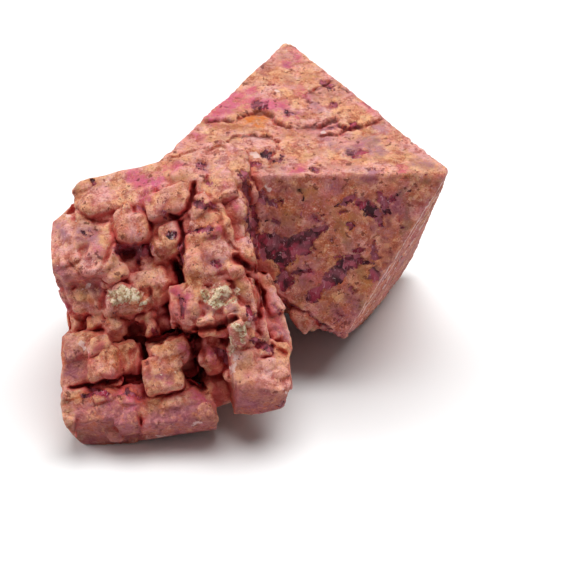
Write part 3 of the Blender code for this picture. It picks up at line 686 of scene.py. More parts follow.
STEP_LUMPS = (  # (across, down, width, height on the fine grid, mm proud, turn)
    (510, 236, 170, 110, 1.0, 14), (590, 150, 130, 130, 0.2, 8), (690, 190, 150, 120, 0.6, 20), (760, 250, 90, 130, 0.2, 5), (630, 262, 90, 60, 0.7, 30),
    (230, 250, 130, 90, 0.5, 10), (810, 430, 80, 84, 0.6, 8), (365, 352, 120, 104, 0.4, 8), (330, 300, 80, 50, 0.5, 30), (520, 380, 90, 90, 0.4, 24), (470, 400, 60, 90, 0.3, 10),
    (660, 345, 120, 90, 0.3, 22), (690, 470, 150, 110, 0.2, 12), (610, 470, 60, 110, 0.3, 6), (780, 500, 50, 60, 0.4, 20),
    (160, 380, 130, 120, 0.3, 12), (110, 450, 90, 110, 0.2, 20), (230, 430, 80, 100, 0.3, -5), (130, 600, 60, 60, 0.3, 15),
    (300, 520, 90, 60, 0.4, 15), (400, 560, 90, 60, 0.4, 10), (470, 540, 70, 70, 0.5, 20), (350, 500, 60, 50, 0.3, 5), (430, 500, 60, 60, 0.4, 30), (270, 560, 50, 50, 0.5, 20), (480, 600, 60, 50, 0.4, 10),
    (230, 590, 60, 70, 0.5, 15), (180, 610, 70, 70, 0.3, -8), (300, 625, 70, 50, 0.5, 20), (360, 610, 80, 60, 0.6, 5), (420, 620, 60, 50, 0.5, 25), (350, 660, 90, 36, 0.5, 12), (480, 660, 40, 60, 0.5, 20), (500, 560, 40, 40, 0.4, 30),
    (220, 720, 60, 50, 0.7, 10), (290, 730, 60, 44, 0.8, 25), (240, 800, 60, 40, 0.6, 10), (330, 740, 40, 50, 0.8, 10), (440, 745, 44, 50, 0.7, 20), (300, 780, 50, 40, 0.6, -10), (190, 770, 40, 40, 0.6, 20), (440, 690, 36, 30, 0.7, 30),
    (270, 880, 52, 110, 0.5, 4), (225, 900, 50, 100, 0.4, -6), (330, 870, 44, 110, 0.6, 6), (380, 865, 42, 100, 0.5, 10), (350, 820, 70, 40, 0.5, 20), (150, 830, 100, 70, 0.4, 12), (210, 830, 50, 60, 0.4, 25),
    (512, 822, 110, 56, 0.9, 16), (560, 800, 36, 36, 0.8, 30), (580, 872, 54, 60, 0.9, 20), (672, 830, 62, 104, 0.6, 10), (728, 822, 54, 84, 0.6, -12), (700, 888, 74, 50, 0.5, 15), (695, 972, 84, 80, 0.3, 10), (650, 900, 44, 50, 0.4, 10),
    (640, 610, 80, 60, 0.3, 10), (720, 600, 70, 50, 0.5, 20), (760, 650, 60, 50, 0.4, 10), (690, 670, 60, 40, 0.4, 15), (600, 650, 60, 90, 0.2, 25), (660, 720, 60, 36, 0.4, 10), (780, 720, 50, 60, 0.7, 10), (830, 750, 44, 70, 0.7, -10), (770, 790, 50, 60, 0.7, 20), (800, 690, 46, 40, 0.5, 0),
    (820, 610, 44, 70, 0.2, 10), (930, 640, 50, 100, 0.2, 18), (940, 760, 50, 60, 0.3, 20), (800, 880, 80, 60, 0.2, -8), (900, 900, 90, 60, 0.2, 5), (880, 830, 70, 60, 0.3, 20), (960, 920, 60, 60, 0.2, 30),
    (150, 1010, 90, 50, 0.3, 5), (260, 1020, 90, 40, 0.3, 10), (350, 1020, 70, 60, 0.2, -5), (520, 1040, 90, 60, 0.3, 10), (600, 1030, 90, 60, 0.2, 20), (660, 1080, 60, 60, 0.2, 10), (110, 1100, 50, 90, 0.3, 0), (200, 1100, 90, 50, 0.15, 5), (340, 1110, 90, 60, 0.15, 8),
)


CUTS = {b[0]: b[6] for b in FRONT_BLOCKS}
PLAIN = {  # share of the small blocks that the smoother faces carry
    "left_shoulder": 0.3, "side_slab": 0.2, "right_slab": 0.15, "right_rib": 0.3, "low_right_block": 0.15,
    "low_mid_block": 0.25, "low_left_block": 0.3, "centre_cube": 0.25, "knob_low": 0.4, "heart_block": 0.4, "top_bar": 0.2, "left_block": 0.3,
}


def stepped_parts():
    parts = [
        block("body_upper", (-14.2, 5.4, 14.0), (19.4, 12.4, 19.0), 13, 12, 0, 0.8),
        block("body_lower_left", (-18.4, -8.0, 13.2), (11.2, 13.0, 13.0), 11, 12, 0, 0.8),
        block("body_lower_right", (-6.9, -3.0, 12.8), (7.8, 10.0, 13.0), 14, 6, 4, 0.6),
        block("body_foot", (-19.6, -11.4, 15.4), (8.4, 7.0, 8.0), 6, 18, 0, 0.6),
    ]
    parts += steps("body_upper", (0, -1), (3, 4), 1.0, (0.4, 1.8), 5.0, "left")
    parts += steps("body_upper", (2, -1), (4, 3), 1.0, (0.3, 1.8), 5.0, "back")
    parts += steps("body_upper", (1, 1), (4, 3), 1.0, (-0.3, 0.9), 4.0, "top")
    parts += steps("body_lower_left", (0, -1), (3, 3), 1.0, (0.0, 1.0), 4.0, "left")
    parts += steps("body_lower_left", (2, -1), (3, 3), 1.0, (0.2, 1.4), 4.0, "back")
    parts += steps("body_lower_right", (1, -1), (3, 3), 1.0, (0.0, 1.2), 4.0, "under")
    big = list(BLOCKS)
    for name, front, size, roll, pitch, yaw, cuts in FRONT_BLOCKS:
        parts.append(block(name, front, size, roll, pitch, yaw, cuts=cuts))
    r = random.Random(SEED)
    # smaller blocks set into the faces of the larger ones, a little proud of them
    for name in big + [b[0] for b in FRONT_BLOCKS]:
        front, turn, size, (roll, pitch, yaw) = BLOCKS[name]
        r = random.Random(f"{SEED}{name}set")
        for axis, sign in ((2, 1), (0, 1), (0, -1), (1, 1), (1, -1)):
            others = [i for i in range(3) if i != axis]
            area = size[others[0]] * min(size[others[1]], 5)
            for k in range(int(min(9, area / 7.0) * PLAIN.get(name, 0.6) + r.random())):
                own = [0, 0, 0]
                own[axis] = 1.6
                place = [0.0, 0.0, 0.0]
                for o in others:
                    own[o] = min(size[o] * 0.75, r.uniform(1.0, 2.8))
                    place[o] = r.uniform(-0.5, 0.5) * (size[o] - own[o] * 0.8)
                place[axis] = sign * (size[axis] / 2 + r.uniform(0.02, 0.3) - 0.8)
                place[2] += own[2] / 2 - size[2] / 2
                at = turn @ Vector(place) + front
                spin = Euler([math.radians(r.uniform(-6, 6)) for _ in range(3)]).to_matrix()
                share = Vector([2 * place[i] / size[i] for i in range(3)])
                if all((share - Vector(point)).dot(Vector(normal)) < -0.35 for point, normal in CUTS.get(name, ())):
                    parts.append(block(f"{name}_{axis}{sign}{k}", at, own, lean=5, turn=turn @ spin))
    r = random.Random(SEED)
    # crumbs lodged in the gaps of the front
    v, f = joined(parts)
    tree = BVHTree.FromPolygons(v.tolist(), f.tolist())
    eye = Vector((0, 0, EYE_W))

    def struck(x, y):
        way = Vector(((x - 290) * 0.12 / EYE_W, (290 - y) * 0.12 / EYE_W, -1)).normalized()
        return tree.ray_cast(eye, way)

    tipped = BLOCKS["body_upper"][1]
    for k, (x, y, width, height, proud, turned) in enumerate(STEP_LUMPS):
        hit = struck(*fine([(x, y)])[0])
        if hit[0] is None:
            continue
        wide, high = width * 0.0268, height * 0.0268
        spin = Euler((math.radians(r.uniform(-32, 2)), math.radians(r.uniform(-14, 14)), math.radians(turned - 10))).to_matrix()
        at, size = hit[0] + Vector((0, 0, proud * 1.35 + 0.1)), (wide, high, min(wide, high) + 1.2)
        if k % 2 == 0:
            parts.append(block(f"lump_{k}", at, size, lean=9, turn=tipped @ spin))
        else:
            parts.append(rounded(f"lump_{k}", at + Vector((0, 0, 0.1)), [a * 1.05 for a in size], tipped @ spin, r.uniform(4.5, 8.5)))
    # flakes in the mica
    for k, (cx, cy, rx, ry, count) in enumerate(((345, 620, 85, 42, 46), (720, 620, 75, 42, 44), (785, 750, 44, 60, 34), (230, 600, 24, 40, 10), (760, 810, 26, 30, 10))):
        for i in range(count):
            hit = struck(*fine([(cx + rx * r.gauss(0, 0.5), cy + ry * r.gauss(0, 0.5))])[0])
            if hit[0] is None:
                continue
            size = (r.uniform(0.5, 1.2), r.uniform(0.15, 0.35), 0.9)
            spin = Euler([math.radians(r.uniform(-35, 35)) for _ in range(3)]).to_matrix()
            parts.append(block(f"flake_{k}_{i}", hit[0] + Vector((0, 0, r.uniform(0.1, 0.45))), size, lean=8, turn=tipped @ spin))
    v, f = joined(parts)
    tree = BVHTree.FromPolygons(v.tolist(), f.tolist())
    for k in range(600):
        x, y = r.uniform(60, 292), r.uniform(165, 440)
        hit = struck(x, y)
        if hit[0] is None:
            continue
        ring = [struck(x + dx, y + dy) for dx, dy in ((9, 0), (-9, 0), (0, 9), (0, -9))]
        rise = [max(h[0].z, 4) if h[0] is not None else 4 for h in ring]
        if sum(z > hit[0].z + 0.8 for z in rise) < 2:
            continue
        s = r.uniform(0.7, 1.7)
        spin = Euler([math.radians(r.uniform(-25, 25)) for _ in range(3)]).to_matrix()
        turn = BLOCKS["body_upper"][1] @ spin
        parts.append(rounded(f"crumb_small_{k}", hit[0] + Vector((0, 0, s * 0.45)), (s, s * r.uniform(0.7, 1.2), s * 1.4), turn, r.uniform(3.5, 8.0), 2))
    parts.append(octahedron("gap_crystal", (1.7, -2.8, 8.6), 2.4, OCTA_AXES, 0.1, 0.2, None, None))
    parts.append(block("gap_root", (2.8, -1.5, 9.0), (3.4, 3.2, 4.5), 30, 12, 0))
    return parts


STEP_BARE = (
    (2.6, [(199, 165), (203, 167)]), (3.4, [(200, 204), (206, 206)]), (2.4, [(164, 213), (169, 217)]), (2.0, [(140, 206), (143, 209)]),
    (3.6, [(126, 250), (140, 247), (148, 246)]), (2.6, [(137, 256), (140, 264)]), (3.0, [(169, 236), (174, 235)]), (1.6, [(196, 231), (212, 229)]),
    (2.4, [(262, 342), (266, 349)]), (3.4, [(259, 344), (268, 350)]), (2.4, [(249, 311), (253, 314)]), (2.2, [(275, 306), (280, 312)]),
    (2.2, [(214, 262), (219, 266)]), (2.2, [(82, 233), (88, 236)]), (2.0, [(86, 396), (96, 395)]), (1.6, [(206, 180), (209, 183)]),
    (2.0, [(180, 247), (182, 262)]), (2.0, [(152, 330), (158, 336)]), (1.8, [(243, 174), (252, 182)]), (3.0, [(246, 188), (250, 214)]),
    (2.6, [(247, 220), (252, 236)]), (1.5, [(92, 180), (96, 184)]), (4.0, [(197, 205), (212, 207)]), (2.6, [(190, 231), (198, 229)]),
    (4.6, [(120, 250), (146, 250)]), (2.8, [(182, 300), (184, 315)]), (2.8, [(217, 350), (226, 360)]), (4.2, [(254, 341), (270, 350)]),
    (3.0, [(90, 388), (106, 394)]), (3.2, [(248, 311), (254, 318)]), (3.2, [(245, 180), (247, 196), (251, 222)]), (2.6, [(128, 392), (140, 398)]),
)
STEP_PINK = (
    (7.5, [(133, 178), (150, 187), (158, 178)]), (6.0, [(147, 190), (143, 198)]), (4.0, [(164, 170), (178, 166)]),
    (3.5, [(215, 236), (220, 230)]), (4.0, [(95, 247), (104, 252)]), (4.5, [(122, 394), (130, 401)]), (4.0, [(110, 405), (132, 408)]),
    (4.0, [(176, 290), (186, 296)]), (3.0, [(206, 345), (214, 362)]), (3.0, [(222, 338), (228, 350)]), (3.6, [(196, 396), (206, 402)]),
    (4.0, [(272, 312), (280, 326)]), (3.0, [(66, 304), (70, 310)]), (3.0, [(182, 347), (188, 352)]), (3, [(160, 376), (170, 384)]),
    (3.0, [(100, 345), (92, 352)]), (3.5, [(232, 200), (236, 208)]),
)
STEP_MAUVE = (
    (0, [(74, 404), (100, 402), (140, 404), (144, 436), (120, 444), (82, 443), (72, 430)]),
    (0, [(146, 410), (182, 405), (214, 402), (220, 430), (170, 441), (146, 440)]),
    (0, [(228, 384), (240, 382), (256, 383), (292, 396), (293, 412), (236, 420)]),
    (0, [(62, 352), (78, 350), (88, 366), (86, 384), (66, 380)]), (0, [(50, 262), (70, 268), (80, 284), (60, 296)]),
    (5.0, [(76, 285), (98, 282), (102, 298)]), (5.0, [(265, 300), (276, 330)]), (4.0, [(176, 312), (226, 306)]), (4.0, [(206, 375), (220, 392)]),
    (4.0, [(206, 255), (220, 270)]), (3.6, [(150, 376), (172, 378)]), (4.0, [(80, 238), (92, 232)]), (3.6, [(120, 252), (146, 250)]),
    (3.0, [(160, 210), (168, 220)]), (3.0, [(60, 330), (66, 346)]),
)
STEP_LILAC = (
    (5.0, [(78, 232), (92, 238)]), (4.0, [(60, 226), (66, 240)]), (6.0, [(90, 290), (98, 286)]), (5.0, [(212, 264), (222, 262)]), (4.0, [(116, 250), (142, 254)]),
    (4.0, [(102, 424), (128, 430)]), (4.0, [(170, 424), (196, 420)]), (4.0, [(246, 402), (276, 404)]), (3.0, [(70, 372), (80, 376)]),
    (4.0, [(220, 300), (234, 310)]), (3.0, [(196, 160), (206, 168)]), (3.5, [(282, 330), (286, 340)]), (3.0, [(152, 216), (158, 224)]),
)
# pale spots: partly the crust's own pale colour, partly painted highlights along ridges
STEP_PALE_AND_GLINT = (
    (2.6, [(80, 344), (88, 350)]), (3.0, [(232, 372), (236, 356)]), (2.0, [(224, 310), (234, 306)]), (1.2, [(172, 238), (176, 226)]),
    (2.0, [(82, 290), (90, 284)]), (1.6, [(64, 212), (76, 222)]), (1.2, [(84, 212), (90, 216)]), (1.4, [(182, 428), (206, 421)]), (1.2, [(146, 438), (176, 434)]),
    (1.4, [(250, 158), (255, 162)]), (1.5, [(234, 346), (236, 364)]), (1.2, [(282, 386), (288, 396)]), (1.0, [(92, 171), (96, 176)]),
)
STEP_MICA = (
    (0, [(108, 292), (120, 286), (134, 288), (146, 292), (142, 300), (128, 302), (112, 306)]),
    (0, [(201, 290), (212, 283), (228, 284), (239, 290), (236, 303), (218, 309), (204, 303)]),
    (3.8, [(230, 322), (238, 328), (248, 325)]), (3.2, [(246, 324), (243, 340)]), (3.0, [(228, 338), (232, 350)]), (2.6, [(140, 306), (150, 300)]),
)
STEP_OCHRE = (
    (5.0, [(170, 180), (184, 176)]), (5.0, [(176, 200), (172, 210)]), (4.0, [(193, 186), (190, 204)]), (4.0, [(106, 270), (120, 278)]), (4.0, [(84, 318), (92, 330)]),
    (4.0, [(236, 275), (244, 296)]), (4.0, [(120, 380), (136, 370)]), (5.0, [(96, 318), (130, 314)]), (5.0, [(176, 338), (160, 348)]), (4.0, [(214, 280), (226, 283)]),
    (3.5, [(268, 292), (262, 280)]), (4.0, [(90, 180), (110, 186)]), (3.0, [(230, 178), (236, 186)]),
)
STEP_STAIN = (
    (6.0, [(66, 402), (68, 424), (78, 436)]), (3.0, [(82, 312), (84, 322)]), (2.0, [(190, 194), (186, 212)]), (2.5, [(140, 318), (166, 322)]), (2.4, [(100, 332), (108, 336)]),
    (3.0, [(176, 330), (196, 330)]), (2.0, [(236, 320), (240, 334)]), (2.5, [(76, 186), (80, 196)]), (2.0, [(216, 300), (226, 304)]),
)


STEP_BLUSH = finer((40, 140), (
    (24, [(300, 500), (360, 540), (440, 540)]), (40, [(860, 900), (940, 900)]), (30, [(780, 880), (800, 960)]), (24, [(130, 820), (200, 830)]), (30, [(170, 600), (220, 590)]), (30, [(640, 700), (780, 680)]), (40, [(90, 350), (120, 450)]), (30, [(180, 360), (220, 420)]),
    (20, [(930, 600), (960, 720)]), (22, [(680, 960), (700, 980)]), (26, [(810, 330), (830, 380)]), (20, [(240, 180), (300, 200)]), (24, [(450, 930), (520, 990)]), (18, [(540, 590), (560, 600)]), (20, [(690, 120), (760, 130)]),
))
STEP_ORANGE = finer((40, 140), (
    (40, [(640, 310), (700, 330)]), (40, [(340, 320), (400, 350)]), (30, [(450, 830), (550, 830)]), (36, [(440, 900), (500, 920)]), (40, [(270, 870), (370, 880)]), (40, [(150, 1030), (280, 1050)]), (36, [(500, 1040), (560, 1060)]),
    (30, [(430, 500), (490, 560)]), (24, [(650, 820), (690, 840)]), (34, [(600, 450), (640, 470)]), (30, [(180, 410), (230, 440)]), (30, [(330, 690), (420, 640)]), (24, [(180, 740), (260, 720)]), (24, [(300, 780), (330, 740)]),
    (30, [(700, 60), (760, 80)]), (26, [(330, 250), (300, 230)]),
))


STEP_RED = finer((40, 140), (
    (24, [(340, 985), (400, 1040)]), (22, [(200, 1005), (330, 1000)]), (14, [(410, 1000), (404, 1180)]), (12, [(180, 1000), (300, 985)]), (26, [(640, 830), (700, 900)]), (16, [(310, 424), (430, 412)]), (16, [(530, 490), (560, 560)]), (20, [(505, 640), (560, 740)]),
    (12, [(870, 590), (884, 700)]), (14, [(690, 1000), (716, 1060)]), (14, [(780, 486), (880, 520)]), (16, [(740, 850), (760, 910)]), (10, [(300, 340), (292, 400)]), (14, [(600, 990), (650, 1030)]), (14, [(140, 566), (250, 552)]),
    (14, [(556, 300), (575, 420)]), (16, [(420, 870), (440, 940)]), (20, [(570, 770), (640, 790)]), (14, [(260, 940), (380, 950)]), (16, [(350, 740), (420, 740)]), (14, [(720, 320), (740, 380)]), (12, [(828, 200), (850, 330)]),
    (14, [(180, 860), (200, 890)]), (12, [(400, 250), (420, 290)]), (16, [(540, 600), (600, 690)]),
))


def ridges(v, f):
    """Over a half on convex edges, under it in hollows; the colour paints the edges paler, partly wear and partly
    painted highlight, and the hollows darker as painted shade.
    """
    e, count = links = neighbours(v, f)
    n = normals(v, f)
    mean = np.stack([np.bincount(e[:, 0], weights=v[e[:, 1], k], minlength=len(v)) / count for k in range(3)], 1)
    out = ((v - mean) * n).sum(1) / 0.05
    return 0.5 + 0.5 * np.clip(averaged(out, links, 2, 0.7), -1, 1)


def stepped_fields(p, n):
    q = seen(p)
    wander = 5.0 * fractal(p, 1.5, 3, 51) + 3.0 * fractal(p, 0.6, 2, 52)
    q2 = q + np.stack([3.5 * fractal(p, 1.4, 3, 53), 3.5 * fractal(p, 1.4, 3, 54)], 1)
    free = fractal(p, 5.0, 2, 61) * 7 + fractal(p, 1.9, 3, 62) * 9
    faced = n[:, 2] > -0.15
    up = n @ UP
    low = smooth(-up, -0.45, 0.25)  # faces turned from the sky kept less crust
    tall = p @ UP
    f = {}

    def both(shapes, loose, push=1.0, spread=1.0):
        return np.where(faced, np.maximum(marks(q2, shapes) * spread + push * wander, loose - 1.5), loose)

    f["bare"] = both(STEP_BARE, free - 7.2 + 1.8 * low, 1.0)
    f["mauve"] = both(STEP_MAUVE, fractal(p, 3.0, 3, 65) * 7 - 3.4 + 4.2 * low * smooth(-tall, -4, 14), 0.9)
    f["lilac"] = both(STEP_LILAC, fractal(p, 2.2, 3, 66) * 8 - 2.8, 1.0)
    f["pink"] = both(STEP_PINK, fractal(p, 3.0, 3, 67) * 8 - 3.4, 1.0)
    f["ochre"] = both(STEP_OCHRE, fractal(p, 2.4, 3, 68) * 8 - 2.2, 1.0)
    f["stain"] = both(STEP_STAIN, fractal(p, 3.0, 3, 69) * 8 - 4.4, 0.8)
    # pale spots, partly the crust's own colour and partly painted highlights
    f["pale"] = both(STEP_PALE_AND_GLINT, fractal(p, 0.9, 2, 70) * 8 - 5.0, 0.7) - 0.8
    f["red"] = both(STEP_RED, fractal(p, 2.4, 3, 88) * 8 - 3.6, 1.0)
    f["orange"] = both(STEP_ORANGE, fractal(p, 3.0, 3, 86) * 8 - 2.0, 1.0)
    f["blush"] = both(STEP_BLUSH, fractal(p, 2.6, 3, 87) * 8 - 2.6, 1.0)
    f["mica"] = both(STEP_MICA, fractal(p, 4.0, 3, 71) * 8 - 5.4, 0.8)
    return f


LEFT_LIMIT = (  # the stepped crystal's left outline on the grid of seen(): (down, across)
    (180, 76), (190, 72), (207, 71.5), (212, 66), (222, 53), (240, 50.5), (260, 52), (280, 53.5), (290, 58), (302, 64), (312, 68), (330, 70), (337, 62), (355, 61), (366, 63), (380, 60), (400, 59.5), (420, 64), (434, 72), (444, 82),
)
LOW_LIMIT = (  # and its lower outline: (across, down)
    (60, 428), (72, 436), (83, 444), (110, 445), (135, 443), (141, 440), (180, 433), (221, 427), (228, 420), (236, 416), (245, 418), (280, 408), (291, 402), (300, 398),
)
HIGH_LIMIT = (  # its upper outline: (across, down)
    (66, 200), (72, 190), (80, 182), (90, 179), (105, 176), (122, 170.5), (140, 168), (165, 160.5), (172, 150), (180, 60),
)
RIGHT_LIMIT = (  # and its right outline, in front of the large crystal: (down, across)
    (285, 283), (290, 282), (325, 290), (350, 292), (358, 289), (385, 292), (397, 292.5), (404, 291), (410, 285),
)


def trimmed(p):
    """Draws the points that are seen past these outlines back to them."""
    p = p.copy()
    q = seen(p)
    size = 0.12 * (EYE_W - p[:, 2]) / EYE_W  # mm in one step of the grid
    p[:, 0] += 0.85 * size * np.maximum(np.interp(q[:, 1], *zip(*LEFT_LIMIT)) - q[:, 0], 0)
    p[:, 1] += 0.85 * size * np.maximum(q[:, 1] - np.interp(q[:, 0], *zip(*LOW_LIMIT)), 0)
    p[:, 1] -= 0.85 * size * np.maximum(np.interp(q[:, 0], *zip(*HIGH_LIMIT)) - q[:, 1], 0)
    over = q[:, 0] - np.interp(q[:, 1], *zip(*RIGHT_LIMIT))
    there = (q[:, 1] > 285) & (over > 0) & (over < 9) & (p[:, 2] > 12)
    p[:, 0] -= np.where(there, 0.85 * size * over, 0)
    return p


def stepped_crystal():
    v, f = fused(*joined(stepped_parts()), 0.17)
    links = neighbours(v, f)
    v = averaged(v, links, 1, 0.6)
    n = averaged(normals(v, f), links, 2, 0.5)
    n /= np.maximum(np.linalg.norm(n, axis=1), 1e-9)[:, None]
    fields = stepped_fields(v, n)
    near, second, own = cells(v + 0.4 * np.stack([fractal(v, 1.0, 2, s) for s in (73, 74, 75)], 1), 1.5, 76)
    plates = (own - 0.5) * smooth(second - near, 0.02, 0.32)
    out = 0.15 + 0.16 * fractal(v, 2.8, 3, 77) + 0.19 * fractal(v, 0.95, 3, 78) + 0.24 * plates
    bare = smooth(fields["bare"], -1.2, 0.9)
    mauve = smooth(fields["mauve"], -2, 3)
    mica = smooth(fields["mica"], -2, 1)
    out = out * (1 - 0.5 * bare) * (1 - 0.55 * mauve) - 0.14 * bare
    flakes = cells(v * np.array((1.0, 1.6, 1.0)), 0.6, 79)
    out += mica * (0.35 * (flakes[2] - 0.4) + 0.05)
    out -= 0.7 * np.maximum(0.2 - cells(v, 1.2, 80)[0], 0)
    cut = opened(v, n)
    out *= 1 - 0.6 * smooth(cut, 0.2, 1.2)
    v = trimmed(v + n * out[:, None] - cut[:, None] * np.array((0, 0, 1.0)))
    return thinned(v, f, 196000)


def opened(p, n):
    """How deep, in mm, the gaps of the front go at each point."""
    q = seen(p)
    q = q + np.stack([3.5 * fractal(p, 1.6, 3, 91), 3.5 * fractal(p, 1.6, 3, 92)], 1)
    swell = 1 + 0.9 * fractal(p, 1.9, 3, 93)
    cut = np.zeros(len(p))
    for width, depth, points in STEP_GAPS:
        half = width / 8 * swell
        cut = np.maximum(cut, (0.42 * depth + 0.28 * depth * (depth > 1.4)) * swell * smooth(half - to_line(q, fine(points)), -2.0, 1.8))
    return cut * smooth(n[:, 2], -0.2, 0.1)


def stepped_attributes(v, f, deep):
    links = neighbours(v, f)
    n = averaged(normals(v, f), links, 3, 0.6)
    fields = stepped_fields(v, n)
    out = {k: 0.5 + fields[k] / 8 for k in ("bare", "pale")}
    out.update({k: smooth(fields[k], -4, 4) for k in ("mauve", "lilac", "pink", "ochre", "stain", "mica", "orange", "blush", "red")})
    # painted shade: the bottoms of deep, closed-in gaps darkened in the colour
    out["dark"] = 0.55 * smooth(opened(v, n), 0.35, 1.3) * smooth(deep, 0.25, 0.55)
    out["edge"] = ridges(v, f)
    out["rust"] = np.zeros(len(v))
    # partly pale dust, partly painted sheen on faces turned to the overhead light
    out["dust_and_sheen"] = smooth(n @ UP, 0.35, 1.0)
    # painted shade: faces turned from the sky are darkened in the colour
    out["low"] = smooth(-(n @ UP), -0.35, 0.15)
    out["deep"] = deep
    return out


# ---- what the group stands on: small crystals and lumps underneath ---------------
MATRIX = (
    (-6.5, 12.0, 6.5, 5.5, 3.0, 20),
    (-1.0, 9.5, 6.0, 5.0, 3.4, -15),
    (3.4, 6.4, 5.0, 4.4, 2.9, 35),
    (6.0, 9.8, 4.6, 4.4, 3.2, 8),
    (1.6, 13.6, 6.4, 5.0, 2.8, -28),
    (6.6, 14.6, 5.4, 5.0, 3.0, 40),
)


def under_crystals():
    parts = [
        octahedron("heel_right", (7.5, 0.8, -12.3), 6.0, OCTA_AXES, 0.15, 0.5, None, None),
        octahedron("heel_left", (-4.2, 1.4, -13.2), 5.8, OCTA_AXES, 0.15, 0.5, None, None),
    ]
    for i, (x, y, width, length, thick, turned) in enumerate(MATRIX):
        z = -7.1 + thick
        turn = Matrix.Rotation(-TILT, 3, "X") @ Matrix.Rotation(math.radians(turned), 3, "Z")
        at = (x, y * math.cos(TILT) + z * math.sin(TILT), z * math.cos(TILT) - y * math.sin(TILT))
        parts.append(block(f"matrix_{i}", at, (width, length, thick + 1.0), lean=9, turn=turn))
    v, f = fused(*joined(parts), 0.24)
    v = averaged(v, neighbours(v, f), 2, 0.5)
    n = normals(v, f)
    near, second, own = cells(v, 1.5, 81)
    out = 0.15 * fractal(v, 3.0, 3, 82) + 0.09 * fractal(v, 0.9, 2, 83) + 0.16 * (own - 0.5) * smooth(second - near, 0.02, 0.32)
    return thinned(v + n * out[:, None], f, 60000)


